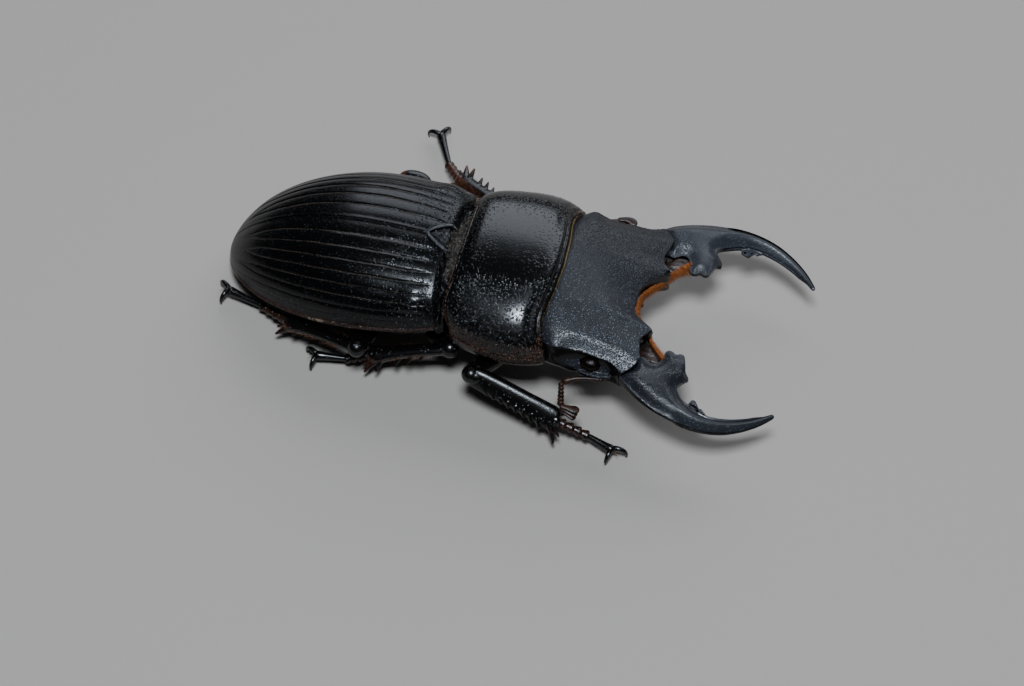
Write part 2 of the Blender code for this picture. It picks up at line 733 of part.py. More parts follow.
def build():
    clear_scene()
    pieces = {}
    pieces["pronotum"] = (shield(), BLACK_GLOSS)
    pieces["hind_body"] = (hind_body(), BLACK_GLOSS)
    pieces["abdomen"] = (belly(), BLACK_GLOSS)
    pieces["scutellum"] = (little_shield(), GRIT)
    pieces["head"] = (head(), BLACK_MATTE)
    pieces["mentum"] = (chin(), BLACK_GLOSS)
    pieces["labral_fringe"] = (fringe(), ORANGE_HAIR)
    for side, word in ((1, "left"), (-1, "right")):
        pieces["elytron_" + word] = (wing_case(side), BLACK_GLOSS)
        pieces["mandible_" + word] = (jaw(side), BLACK_MATTE)
        pieces["eye_" + word] = (eye(side), EYE_BLACK)
        pieces["antenna_" + word] = (feeler(side), BROWN_GLOSS)
        pieces["maxillary_palp_" + word] = (palp((37.35, 1.9, 3.7), (38.6, 2.3, 3.0), side), BROWN_GLOSS)
        pieces["labial_palp_" + word] = (palp((37.35, 0.7, 3.8), (38.5, 0.8, 3.4), side), BROWN_GLOSS)
        carve(pieces["elytron_" + word][0], [scute_plate(GAP)])
    carve(pieces["head"][0], [eye(1, GAP), eye(-1, GAP)])
    for name in LEGS:
        trunk = pieces["pronotum"][0] if name.startswith("fore") else pieces["hind_body"][0]
        carve(trunk, [coxa(name, GAP)])
        carve(trunk, [femur(name, GAP)])
        hip = carve(coxa(name), [femur(name, GAP)])
        pieces["coxa_" + name] = (hip, BLACK_GLOSS)
        pieces["femur_" + name] = (femur(name), BLACK_GLOSS)
        pieces["tibia_" + name] = (tibia(name), BLACK_GLOSS)
        pieces["tarsus_" + name] = (tarsus(name), BROWN_GLOSS)

    group = bpy.data.collections.new("stag_beetle")
    bpy.context.scene.collection.children.link(group)
    stand = bpy.data.objects.new("beetle", None)
    group.objects.link(stand)
    low = Vector((math.inf,) * 3)
    high = Vector((-math.inf,) * 3)
    for name, (item, (colour, roughness)) in pieces.items():
        item.name = name
        item.data.name = name
        item.data.transform(Matrix.Scale(METRES, 4))
        item.data.materials.clear()
        item.data.materials.append(finish(name, colour, roughness))
        item.data.shade_smooth()
        item.data.set_sharp_from_angle(angle=math.radians(40))
        for user in list(item.users_collection):
            user.objects.unlink(item)
        group.objects.link(item)
        item.parent = stand
        for vert in item.data.vertices:
            low = Vector(map(min, low, vert.co))
            high = Vector(map(max, high, vert.co))
    stand.location = (-(low.x + high.x) / 2, -(low.y + high.y) / 2, -low.z)


build()
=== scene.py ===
"""Looks of a male stag beetle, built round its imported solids.

Pieces are shaped in millimetres, with x = 0 at the tail end of the wing cases, +X towards the head, +Y to
the beetle's left and z = 0 on the floor, and each is then placed in the row frame, in metres.
"""

import math
import random

import bmesh
import bpy
import numpy as np
from mathutils import Matrix, Vector


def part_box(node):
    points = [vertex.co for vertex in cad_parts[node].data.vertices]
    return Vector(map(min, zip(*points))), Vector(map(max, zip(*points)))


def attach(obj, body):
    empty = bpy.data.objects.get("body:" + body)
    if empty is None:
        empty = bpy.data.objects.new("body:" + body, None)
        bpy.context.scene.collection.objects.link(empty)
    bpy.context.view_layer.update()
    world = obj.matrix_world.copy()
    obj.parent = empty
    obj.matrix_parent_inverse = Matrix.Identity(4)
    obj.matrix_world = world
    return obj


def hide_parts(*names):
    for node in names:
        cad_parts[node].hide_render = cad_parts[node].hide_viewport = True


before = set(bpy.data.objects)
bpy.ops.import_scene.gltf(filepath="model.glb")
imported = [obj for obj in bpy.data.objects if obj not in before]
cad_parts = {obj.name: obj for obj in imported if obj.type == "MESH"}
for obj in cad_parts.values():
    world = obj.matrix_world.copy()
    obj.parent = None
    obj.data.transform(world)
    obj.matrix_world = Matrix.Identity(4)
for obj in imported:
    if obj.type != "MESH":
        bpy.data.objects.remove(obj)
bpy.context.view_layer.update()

MM = 0.001
UP = Vector((0, 0, 1))
EYE_AT = Vector((35.3, 6.95, 6.35))

# The eyes are where the solids have them, which ties the millimetres to the row frame
left_eye, right_eye = (sum(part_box(node), Vector()) / 2 for node in ("eye_left", "eye_right"))
SHIFT = Vector((left_eye.x / MM - EYE_AT.x, (left_eye.y + right_eye.y) / 2 / MM, 0.0))
TO_ROW = Matrix.Scale(MM, 4) @ Matrix.Translation(SHIFT)


# Lines and numbers

def blend(first, second, share):
    return first + (second - first) * share


def smooth(places, at):
    """Values of a soft line through (place, value) pairs."""
    spots = np.array([place for place, value in places], float)
    values = np.array([value for place, value in places], float)
    slopes = np.empty_like(values)
    slopes[1:-1] = (values[2:] - values[:-2]) / (spots[2:] - spots[:-2])
    slopes[0] = (values[1] - values[0]) / (spots[1] - spots[0])
    slopes[-1] = (values[-1] - values[-2]) / (spots[-1] - spots[-2])
    at = np.clip(at, spots[0], spots[-1])
    k = np.clip(np.searchsorted(spots, at, side="right") - 1, 0, len(spots) - 2)
    width = spots[k + 1] - spots[k]
    t = (at - spots[k]) / width
    start = values[k] * (1 + 2 * t) * (1 - t) ** 2 + slopes[k] * width * t * (1 - t) ** 2
    end = values[k + 1] * t * t * (3 - 2 * t) - slopes[k + 1] * width * t * t * (1 - t)
    return start + end


def step(low, high, value):
    """0 below low, 1 above high, and a soft rise between them."""
    t = np.clip((np.asarray(value, float) - low) / (high - low), 0, 1)
    return t * t * (3 - 2 * t)


def hump(value, middle, width):
    return np.exp(-((np.asarray(value, float) - middle) / width) ** 2)


def path(points, count):
    """Evenly spread points on a soft line through a few points in space."""
    marks = range(len(points))
    at = np.linspace(0, len(points) - 1, count)
    axes = [smooth([(mark, points[mark][axis]) for mark in marks], at) for axis in range(3)]
    return [Vector(point) for point in zip(*axes)]


# Shaping

def put_in(name, data):
    item = bpy.data.objects.new(name, data)
    bpy.context.scene.collection.objects.link(item)
    return item


def deselect():
    if bpy.context.object and bpy.context.object.mode != "OBJECT":
        bpy.ops.object.mode_set(mode="OBJECT")
    bpy.ops.object.select_all(action="DESELECT")


def apply_all(item):
    deselect()
    item.select_set(True)
    bpy.context.view_layer.objects.active = item
    for modifier in list(item.modifiers):
        bpy.ops.object.modifier_apply(modifier=modifier.name)


def skin(name, rings, capped=True):
    """A surface through rings of points; a capped end is drawn together to its middle."""
    rings = np.asarray(rings, float)
    count, size = rings.shape[:2]
    points = np.concatenate([rings.reshape(-1, 3), rings[[0, -1]].mean(axis=1)])
    here = np.arange(size)
    ahead = (here + 1) % size
    faces = []
    for i in range(count - 1):
        base = i * size
        faces += np.stack([here + base, ahead + base, ahead + base + size, here + base + size], 1).tolist()
    last = (count - 1) * size
    tips = (count * size, count * size + 1)
    if capped:
        faces += np.stack([ahead, here, np.full(size, tips[0])], 1).tolist()
        faces += np.stack([here + last, ahead + last, np.full(size, tips[1])], 1).tolist()
    else:
        points = points[:-2]
    mesh = bpy.data.meshes.new(name)
    mesh.from_pydata(points.tolist(), [], faces)
    return point_out(put_in(name, mesh))


def point_out(item):
    bm = bmesh.new()
    bm.from_mesh(item.data)
    bmesh.ops.recalc_face_normals(bm, faces=bm.faces)
    bm.to_mesh(item.data)
    bm.free()
    return item


def disc(name, points):
    """A disc with its rim on a ring of points, left open for editing."""
    deselect()
    bpy.ops.mesh.primitive_circle_add(vertices=len(points), radius=1.0, fill_type="NGON")
    item = bpy.context.object
    item.name = name
    bpy.ops.object.mode_set(mode="EDIT")
    bm = bmesh.from_edit_mesh(item.data)
    for vert, point in zip(list(bm.verts), points):
        vert.co = point
    return item, bm


def close_up(item):
    bmesh.update_edit_mesh(item.data)
    bpy.ops.mesh.select_all(action="SELECT")
    bpy.ops.mesh.normals_make_consistent(inside=False)
    bpy.ops.object.mode_set(mode="OBJECT")
    return item


def tube(name, stations, sides=16, lean=UP, section=None):
    """A limb drawn out of a disc, station by station: a centre, a half width and a half height each."""
    section = section or [(math.cos(2 * math.pi * k / sides), math.sin(2 * math.pi * k / sides))
                          for k in range(sides)]
    centres = [Vector(station[0]) for station in stations]
    rings = []
    for i, (centre, (_, wide, high)) in enumerate(zip(centres, stations)):
        along = (centres[min(i + 1, len(centres) - 1)] - centres[max(i - 1, 0)]).normalized()
        across = along.cross(lean).normalized()
        upward = across.cross(along)
        rings.append([centre + across * wide * u + upward * high * w for u, w in section])
    item, bm = disc(name, rings[0])
    loop = list(bm.verts)
    for ring in rings[1:]:
        before = [vert.co.copy() for vert in loop]
        bpy.ops.mesh.extrude_region_move()
        bm = bmesh.from_edit_mesh(item.data)
        drawn = {tuple(round(c, 6) for c in vert.co): vert for vert in bm.verts if vert.select}
        loop = [drawn[tuple(round(c, 6) for c in point)] for point in before]
        for vert, point in zip(loop, ring):
            vert.co = point
    return close_up(item)


def taper(name, line, profile, sides, flat=1.0):
    """A limb along a line of points, with (share, radius) pairs for its thickness."""
    radii = smooth(profile, np.linspace(0, 1, len(line)))
    return tube(name, [(point, r, r * flat) for point, r in zip(line, radii)], sides)


def ball(name, centre, radii, segments=32, rings=20, turn=(0, 0, 0)):
    deselect()
    if isinstance(radii, (int, float)):
        radii = (radii, radii, radii)
    bpy.ops.mesh.primitive_uv_sphere_add(segments=segments, ring_count=rings, radius=1.0, location=centre,
                                         rotation=turn, scale=radii)
    bpy.ops.object.transform_apply()
    bpy.context.object.name = name
    return bpy.context.object


def thorn(name, root, tip, radius, sides, blunt):
    """A tapered point from its root to its tip."""
    root, tip = Vector(root), Vector(tip)
    turn = (tip - root).to_track_quat("Z", "Y").to_euler()
    deselect()
    bpy.ops.mesh.primitive_cone_add(vertices=sides, radius1=radius, radius2=radius * blunt,
                                    depth=(tip - root).length, location=(root + tip) / 2, rotation=turn)
    bpy.ops.object.transform_apply()
    bpy.context.object.name = name
    return bpy.context.object


def join(name, parts):
    deselect()
    for part in parts:
        part.select_set(True)
    bpy.context.view_layer.objects.active = parts[0]
    if len(parts) > 1:
        bpy.ops.object.join()
    item = bpy.context.object
    item.name = name
    return item


def melt(name, parts, grain, soften):
    """Parts run together into one surface, with softened joints."""
    item = join(name, parts)
    remesh = item.modifiers.new("remesh", "REMESH")
    remesh.mode = "VOXEL"
    remesh.voxel_size = grain
    ease = item.modifiers.new("ease", "SMOOTH")
    ease.factor = 0.5
    ease.iterations = soften
    apply_all(item)
    return item


def round_off(item):
    rounding = item.modifiers.new("round", "SUBSURF")
    rounding.levels = rounding.render_levels = 1
    apply_all(item)
    return item


def plate(name, outline, high):
    """A flat slab with a drawn outline, as thick as twice its height."""
    item = disc(name, [(x, y, -high) for x, y in outline])[0]
    bmesh.update_edit_mesh(item.data)
    bpy.ops.mesh.extrude_region_move(TRANSFORM_OT_translate={"value": (0, 0, 2 * high)})
    return close_up(item)


def spots(item, kind="co"):
    """The places of a piece's points, or their normals."""
    flat = np.empty(len(item.data.vertices) * 3)
    item.data.vertices.foreach_get(kind, flat)
    return flat.reshape(-1, 3)


def move_to(item, points):
    item.data.vertices.foreach_set("co", np.asarray(points, float).ravel())
    item.data.update()


def note(item, **notes):
    """Write a value for each point of a piece, or one for them all, for its paint to read."""
    for name, values in notes.items():
        layer = item.data.attributes.new(name, "FLOAT", "POINT")
        wanted = np.broadcast_to(np.asarray(values, np.float32), len(item.data.vertices))
        layer.data.foreach_set("value", np.ascontiguousarray(wanted))


def put_away(item, paint, slot, *nodes, crease=0):
    """Shade a finished piece, place it in the row frame and tie it to the model."""
    item.data.shade_smooth()
    if crease:
        item.data.set_sharp_from_angle(angle=math.radians(crease))
    item.data.transform(TO_ROW)
    item.data.materials.clear()
    item.data.materials.append(PAINTS[paint])
    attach(item, "root")
    if nodes:
        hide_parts(*nodes)
    return item


# Paints

def sum_by(operation, turned=False):
    def act(self, other):
        return self.paint.maths(operation, *((other, self) if turned else (self, other)))
    return act


class Wire:
    """A node's output, which takes part in sums as a number does."""

    def __init__(self, paint, socket):
        self.paint = paint
        self.socket = socket

    __add__, __radd__ = sum_by("ADD"), sum_by("ADD", True)
    __sub__, __rsub__ = sum_by("SUBTRACT"), sum_by("SUBTRACT", True)
    __mul__, __rmul__ = sum_by("MULTIPLY"), sum_by("MULTIPLY", True)


class Paint:
    """A material on a shader of its own, with patterns measured in millimetres."""

    def __init__(self, name):
        self.material = bpy.data.materials.new(name)
        self.material.use_nodes = True
        self.nodes = self.material.node_tree.nodes
        self.links = self.material.node_tree.links
        self.shader = self.nodes["Principled BSDF"]
        place = self.node("ShaderNodeTexCoord").outputs["Object"]
        sized = self.node("ShaderNodeMapping", {"Vector": place, "Scale": (1 / MM,) * 3})
        self.place = sized.outputs["Vector"]

    def node(self, kind, values=(), **settings):
        made = self.nodes.new(kind)
        for name, value in settings.items():
            setattr(made, name, value)
        for name, value in dict(values).items():
            self.feed(made.inputs[name], value)
        return made

    def feed(self, socket, value):
        if isinstance(value, Wire):
            value = value.socket
        if isinstance(value, bpy.types.NodeSocket):
            self.links.new(value, socket)
        else:
            socket.default_value = value

    def maths(self, operation, *values):
        return Wire(self, self.node("ShaderNodeMath", enumerate(values), operation=operation).outputs[0])

    def written(self, name):
        return Wire(self, self.node("ShaderNodeAttribute", attribute_name=name).outputs["Fac"])

    def noise(self, scale, detail, rough):
        values = {"Vector": self.place, "Scale": scale, "Detail": detail, "Roughness": rough}
        return Wire(self, self.node("ShaderNodeTexNoise", values).outputs["Fac"])

    def cells(self, scale, outputs=("Distance",)):
        made = self.node("ShaderNodeTexVoronoi", {"Vector": self.place, "Scale": scale})
        wires = [Wire(self, made.outputs[name]) for name in outputs]
        return wires if len(wires) > 1 else wires[0]

    def painted_glints(self, scale, size, share):
        """Small round dots in some of the cells, unevenly bright: painted glints that stand in for
        highlights.
        """
        distance, shade = self.cells(scale, ("Distance", "Color"))
        dot = 1.0 - self.rise(distance, size * 0.5, size)
        return dot * self.rise(shade, 0.62 - share * 0.4, 0.80 - share * 0.2)

    def rise(self, value, low, high):
        """0 where the value is below low, 1 above high."""
        values = {"Value": value, "From Min": low, "From Max": high}
        made = self.node("ShaderNodeMapRange", values, interpolation_type="SMOOTHSTEP")
        return Wire(self, made.outputs["Result"])

    def mix(self, share, first, second):
        return self.node("ShaderNodeMix", {0: share, 6: first, 7: second}, data_type="RGBA").outputs[2]

    def relief(self, height, depth):
        """A bump of a height from 0 to 1, at a depth in millimetres."""
        values = {"Height": height, "Distance": depth * MM, "Strength": 1.0}
        return self.node("ShaderNodeBump", values).outputs["Normal"]

    def done(self, colour, roughness, normal=None, ior=1.5):
        self.feed(self.shader.inputs["Base Color"], colour)
        self.feed(self.shader.inputs["Roughness"], roughness)
        self.feed(self.shader.inputs["IOR"], ior)
        if normal is not None:
            self.feed(self.shader.inputs["Normal"], normal)
        return self.material


def rgb(red, green, blue):
    return (red, green, blue, 1.0)


BLACK = rgb(0.0012, 0.0012, 0.0014)
RUST = rgb(0.105, 0.046, 0.025)
LINE_DUST = rgb(0.085, 0.062, 0.042)
FLAKE = rgb(0.20, 0.15, 0.11)
# The next two colours are painted highlights: bright bluish dots mixed into the base colour in place of
# glints and sparkles of light.
PAINTED_GLINT = rgb(0.125, 0.145, 0.180)
PAINTED_SPARKLE = rgb(0.215, 0.250, 0.310)


def wing_paint():
    paint = Paint("grooved black shell")
    groove, rim, pits = paint.written("groove"), paint.written("rim"), paint.written("pits")
    patch = paint.noise(1.3, 4.0, 0.65)
    grain = paint.noise(9.0, 2.0, 0.6)
    pit = 1.0 - paint.rise(paint.cells(4.2), 0.06, 0.42)
    fine = 1.0 - paint.rise(paint.cells(6.5), 0.06, 0.30)
    dusty = paint.rise(rim * 0.7 + patch * 0.7, 0.65, 1.05) * 0.7
    line = paint.rise(groove, 0.45, 0.9) * paint.rise(patch + grain * 0.4, 0.5, 0.8)
    colour = paint.mix(line * 0.75, BLACK, LINE_DUST)
    colour = paint.mix(dusty * paint.rise(grain, 0.45, 0.66), colour, RUST)
    # Painted glints: bright dots at the punctures.
    colour = paint.mix(paint.painted_glints(4.2, 0.30, 0.5) * pits, colour, PAINTED_GLINT)
    flake = paint.rise(paint.noise(0.75, 5.0, 0.75) + rim * 0.25, 0.80, 0.86) * paint.rise(rim, 0.3, 0.7)
    colour = paint.mix(flake * 0.8, colour, FLAKE)
    rough = 0.18 + patch * 0.07 + rim * 0.26 + dusty * 0.15 + line * 0.3 + flake * 0.3 - pit * pits * 0.06
    height = 0.6 - pit * pits * 0.6 - fine * (0.05 + pits * 0.2) + grain * (rim * 0.2 + pits * 0.05)
    return paint.done(colour, rough, paint.relief(height, 0.13), ior=1.38)


def shield_paint():
    paint = Paint("pitted black shell")
    rust, pits = paint.written("rust"), paint.written("pits")
    patch = paint.noise(1.1, 4.0, 0.65)
    grain = paint.noise(5.0, 4.0, 0.65)
    pit = 1.0 - paint.rise(paint.cells(3.9), 0.06, 0.44)
    scatter = 1.0 - paint.rise(paint.cells(6.3), 0.06, 0.36)
    dusty = paint.rise(rust * 0.9 + patch * 0.5, 0.7, 1.05)
    dust = dusty * paint.rise(grain + pit * 0.15, 0.52, 0.66)
    # Painted glints: bright dots on the black where the pieces mark them.
    colour = paint.mix(paint.painted_glints(3.9, 0.26, 0.55) * paint.written("painted_glint_share"), BLACK, PAINTED_GLINT)
    colour = paint.mix(dust, colour, RUST)
    rough = 0.17 + patch * 0.05 + dust * 0.22 - pit * pits * 0.06
    height = 0.6 - pit * pits * 0.55 - scatter * pits * 0.2 + grain * (dusty * 0.25 + pits * 0.04)
    return paint.done(colour, rough, paint.relief(height, 0.14), ior=1.48)


def grain_paint():
    paint = Paint("grained dull shell")
    # Blackened, glossier places: partly the smooth black cuticle, partly painted shade on walls, hollows and
    # undersides.
    gloss_shade = paint.written("gloss")
    patch = paint.noise(0.8, 3.0, 0.6)
    grain = paint.noise(12.0, 2.0, 0.6)
    beads = paint.rise(paint.cells(9.0), 0.0, 0.65)
    # Painted sparkle: bright dots mixed into the colour where the pieces mark it, in place of glints of
    # light.
    spark = paint.written("spark")
    # Painted light and shade: the base colour is paler where the pieces mark the surface as lit or showing a
    # sheen, darker where they do not.
    light = paint.written("light") * (patch * 0.8 + 0.6)
    base = paint.mix(light, rgb(0.0030, 0.0033, 0.0042), rgb(0.0320, 0.0345, 0.0410))
    colour = paint.mix(paint.painted_glints(5.4, 0.36, 0.7) * spark, base, PAINTED_SPARKLE)
    colour = paint.mix(gloss_shade, colour, BLACK)
    rough = 0.27 - gloss_shade * 0.07 + patch * 0.05
    height = (1.0 - beads) * 0.9 + grain * 0.4
    bare = (1.0 - gloss_shade * 0.9) * (1.0 - paint.written("even") * 0.9)
    return paint.done(colour, rough, paint.relief(height * bare, 0.042), ior=1.37)


def leg_paint():
    paint = Paint("glossy leg shell")
    rust = paint.written("rust")
    patch = paint.noise(1.6, 4.0, 0.65)
    grain = paint.noise(8.0, 2.0, 0.6)
    pit = 1.0 - paint.rise(paint.cells(3.0), 0.08, 0.26)
    blotch = paint.noise(4.5, 4.0, 0.7)
    share = paint.rise(rust * 0.75 + patch * 0.4 + blotch * 0.5, 0.72, 1.08)
    colour = paint.mix(share, rgb(0.0016, 0.0013, 0.0013), rgb(0.070, 0.019, 0.006))
    # Painted glints: sparse bright dots in the colour.
    colour = paint.mix(paint.painted_glints(3.0, 0.15, 0.3) * 0.5, colour, PAINTED_GLINT)
    rough = 0.20 + patch * 0.12 + share * 0.15
    height = 0.5 - pit * 0.45 + grain * 0.16
    return paint.done(colour, rough, paint.relief(height, 0.05))


def brown_paint():
    paint = Paint("red-brown shell")
    patch = paint.noise(2.4, 4.0, 0.6)
    grain = paint.noise(14.0, 2.0, 0.6)
    colour = paint.mix(paint.rise(patch, 0.35, 0.7), rgb(0.004, 0.002, 0.0015), rgb(0.045, 0.014, 0.006))
    return paint.done(colour, 0.26 + patch * 0.16, paint.relief(grain, 0.02), ior=1.40)


def hair_paint(name, dark, pale):
    paint = Paint(name)
    tone = paint.written("tone")
    streak = paint.noise(6.0, 2.0, 0.5)
    colour = paint.mix(paint.rise(tone * 0.7 + streak * 0.45, 0.2, 0.95), dark, pale)
    return paint.done(colour, 0.4 + streak * 0.1)


def eye_paint():
    paint = Paint("faceted black eye")
    facets = paint.rise(paint.cells(26.0), 0.0, 0.6)
    tint = paint.noise(1.2, 2.0, 0.5)
    colour = paint.mix(tint, rgb(0.002, 0.001, 0.0009), rgb(0.006, 0.0018, 0.0011))
    return paint.done(colour, 0.22 + tint * 0.10, paint.relief(1.0 - facets, 0.004), ior=1.27)


def silt_paint():
    paint = Paint("gritty dark seam")
    clean, ridge = paint.written("clean"), paint.written("ridge")
    patch = paint.noise(2.0, 4.0, 0.7)
    grit = paint.noise(4.5, 5.0, 0.75)
    lumps = paint.rise(paint.cells(5.0), 0.1, 0.6)
    cover = paint.rise(patch + grit * 0.5 - clean * 0.8, 0.5, 0.78)
    shade = paint.mix(paint.rise(grit, 0.47, 0.62), rgb(0.006, 0.005, 0.004), rgb(0.115, 0.088, 0.066))
    colour = paint.mix(cover, BLACK, shade)
    # Painted highlight: the ridges are coloured grey as if catching the light.
    colour = paint.mix(ridge, colour, rgb(0.030, 0.031, 0.034))
    rough = 0.24 + cover * 0.3 + ridge * 0.06
    height = (lumps * 0.5 + grit * 0.8) * (1.0 - clean * 0.55) * (1.0 - ridge * 0.8)
    return paint.done(colour, rough, paint.relief(height, 0.14))


def membrane_paint():
    paint = Paint("joint skin")
    patch = paint.noise(2.2, 3.0, 0.6)
    colour = paint.mix(paint.rise(patch, 0.35, 0.65), rgb(0.007, 0.0035, 0.003), rgb(0.034, 0.016, 0.011))
    return paint.done(colour, 0.3 + patch * 0.2, paint.relief(patch, 0.08), ior=1.45)


# Wing cases

WING_LENGTH = 21.6
WING_WIDEST_AT = 14.0
WING_HALF_WIDTH = 8.1
WING_BASE_SWEEP = 1.0
WING_STATIONS = 150
BACK_HIGHEST_AT = 16.0
BACK_HEIGHT = 10.5
SHOULDER_EDGE_HEIGHT = 6.35
GROOVES = 8
GROOVE_SPACING = 0.105


def wing_half_width(x):
    behind = WING_HALF_WIDTH * (1 - np.clip((WING_WIDEST_AT - x) / WING_WIDEST_AT, 0, 1) ** 2) ** 0.55
    ahead = np.clip((x - WING_WIDEST_AT) / (WING_LENGTH - WING_WIDEST_AT), 0, 1)
    return behind - 1.0 * ahead ** 2


def wing_crest(x):
    share = (1 - np.clip((BACK_HIGHEST_AT - x) / BACK_HIGHEST_AT, 0, 1) ** 2) ** 0.62
    ahead = np.clip((x - BACK_HIGHEST_AT) / (WING_LENGTH - BACK_HIGHEST_AT), 0, 1)
    return blend(1.7, BACK_HEIGHT, share) - 0.3 * ahead ** 2


def wing_edge(x):
    return blend(1.2, SHOULDER_EDGE_HEIGHT, (np.clip(x, 0, WING_LENGTH) / WING_LENGTH) ** 0.6)


def wing_base(y):
    return WING_LENGTH + 0.2 - WING_BASE_SWEEP * (1 - (y / WING_HALF_WIDTH) ** 3)


def groove_place(k, x):
    """Share of the arch at which a groove runs; near the tail the grooves run together in pairs."""
    place = GROOVE_SPACING * k
    partner = GROOVE_SPACING * (k + 1 if k % 2 else k - 1)
    return blend(place, (place + partner) / 2, 0.8 * (1 - step(1.6, 4.2, x)))


def wing_relief(x, t):
    """Height over the plain arch, and the depth of groove, at a place and a share of the arch."""
    fade = step(0.9, 2.6, x) * (1 - step(19.4, 21.0, x)) * (1 - step(0.9, 1.0, t))
    waver = 0.0015 * np.sin(1.7 * x + 9 * t)
    cut = np.zeros_like(x + t)
    before = np.zeros_like(cut)
    after = np.ones_like(cut)
    for k in range(1, GROOVES + 1):
        place = groove_place(k, x) + waver
        deep = 1.0 if k < 7 else 0.15
        cut = np.maximum(cut, deep * hump(t, place, 0.0068) * (0.8 + 0.2 * np.cos(18 * x + k)))
        before = np.where(place <= t, np.maximum(before, place), before)
        after = np.where(place > t, np.minimum(after, place), after)
    between = np.clip((t - before) / np.maximum(after - before, 1e-6), 0, 1)
    bulge = np.sin(np.pi * between) ** 0.7 * (1 - step(0.82, 0.9, t))
    rise = fade * (0.05 * bulge - 0.085 * cut) + 0.05
    rise = rise + 0.05 * hump(t, 0.0, 0.010) * step(0.5, 3, x)
    shoulder = 0.32 * hump(x, 19.3, 1.3) * hump(t, 0.6, 0.13)
    rim = 0.08 * hump(t, 0.985, 0.012) - 0.10 * hump(t, 0.952, 0.016)
    base = -0.9 * step(21.15, 21.6, x) ** 1.3
    return rise + shoulder + rim + base, cut * fade


def wing_case(side, word):
    columns, under, inner = 210, 16, 0.05
    t = np.linspace(0, 1, columns)[None, :]
    u = np.linspace(0, 1, WING_STATIONS)
    x = (0.1 + (WING_LENGTH - 0.1) * (1 - np.cos(math.pi / 2 * u)) ** 0.92)[:, None]
    turn = t * math.pi / 2
    half, crest, edge = wing_half_width(x), wing_crest(x), wing_edge(x)
    rise, cut = wing_relief(x, t)
    lift = rise * step(0.0, 1.2, x)
    y = inner + (half - inner) * np.sin(turn) ** 0.9 + lift * np.sin(turn)
    z = edge + (crest - edge) * np.cos(turn) ** 0.9 + lift * np.cos(turn)
    back = np.linspace(1, 0, under)[None, :]
    low_y = inner + (half - 0.12 - inner) * back
    low_z = np.broadcast_to(edge - 0.55 * step(0.0, 0.08, 1.02 - back), low_y.shape)
    ys = np.concatenate([y, low_y], 1)
    zs = np.concatenate([z, low_z], 1)
    xs = x * wing_base(np.clip(ys, 0, WING_HALF_WIDTH)) / WING_LENGTH
    rings = np.stack([xs, side * ys, zs], 2)
    item = skin("elytron_%s_shell" % word, rings)
    filler = np.zeros((WING_STATIONS, under))
    tips = np.zeros(2)
    low = np.broadcast_to(t, y.shape)
    rim = step(0.82, 1.0, low) + 0.55 * (1 - step(0.3, 3.2, x)) + 0.4 * step(20.6, 21.4, x)
    pits = step(16.5, 19.8, x) * (1 - step(0.93, 1.0, t)) + 0.3 * step(0.7, 0.85, t) + 0.12
    for name, value in (("groove", cut), ("rim", rim), ("pits", np.broadcast_to(pits, y.shape))):
        note(item, **{name: np.concatenate([np.concatenate([value, filler], 1).ravel(), tips])})
    return put_away(item, "wing", "wing_case", "elytron_" + word, crease=60)


# Pronotum

SHIELD_BACK = 21.8
SHIELD_FRONT = 31.0
SHIELD_LENGTH = 9.2
SHIELD_HALF_WIDTH = 8.85
SHIELD_BACK_CORNER = 7.5
SHIELD_FRONT_CORNER = 8.4
SHIELD_EDGE_HEIGHT = 6.1


def shield_front(y):
    drawn = [(0.0, 0.0), (3.0, -0.2), (5.2, -0.5), (6.6, -0.4), (7.6, 0.0), (8.4, 0.3)]
    return SHIELD_FRONT + smooth(drawn, np.abs(y))


def shield_back(y):
    drawn = [(0.0, 0.0), (4.0, -0.05), (5.8, -0.2), (6.9, 0.15), (7.5, 0.7)]
    return SHIELD_BACK + smooth(drawn, np.abs(y))


def shield_half_width(share):
    inset = [(0.0, 1.75), (0.06, 1.1), (0.2, 0.55), (0.42, 0.15), (0.65, 0.0), (0.85, 0.3), (0.95, 0.65),
             (1.0, 0.95)]
    return SHIELD_HALF_WIDTH - smooth(inset, share)


def shield_plan(share, turn):
    """A place on the pronotum seen from above, its half width there and the height of its edge."""
    half = shield_half_width(share)
    y = half * np.sign(np.cos(turn)) * np.abs(np.cos(turn)) ** 0.9
    x = blend(shield_back(y * SHIELD_BACK_CORNER / half), shield_front(y * SHIELD_FRONT_CORNER / half), share)
    rolled = 1 - np.abs(2 * share - 1) ** 6
    return x, y, half, SHIELD_EDGE_HEIGHT + 0.15 * rolled


def shield_surface(share, turn):
    """A place on the pronotum's upper side, with its distances from the side, front and back margins."""
    x, y, half, edge = shield_plan(share, turn)
    rolled = 1 - np.abs(2 * share - 1) ** 6
    crest = blend(10.2, 10.3, share) + 0.95 * rolled - 0.2
    dome = np.sin(turn) ** 0.85
    side = half - np.abs(y)
    fore, aft = (1 - share) * SHIELD_LENGTH, share * SHIELD_LENGTH
    end = np.minimum(fore, aft)
    z = edge + (crest - edge) * dome
    flat = (1 - step(0.12, 0.5, side)) * step(0.3, 0.9, end)
    z = z - flat * 0.5 * dome * (crest - edge) * step(0.0, 0.12, side)
    bead = hump(fore, 0.13, 0.09) * 0.09 - hump(fore, 0.36, 0.12) * 0.13
    bead = bead + hump(aft, 0.12, 0.08) * 0.03 - hump(aft, 0.3, 0.07) * 0.10
    collar = -0.10 * hump(fore, 1.0, 0.35) * step(2.5, 5.0, np.abs(y))
    z = z + (bead + collar) * step(0.05, 0.5, side) - 0.12 * (1 - step(0.0, 0.1, end))
    z = z + 0.09 * hump(side, 0.1, 0.08) * step(0.2, 0.6, end)
    return x, y, z, side, fore, aft


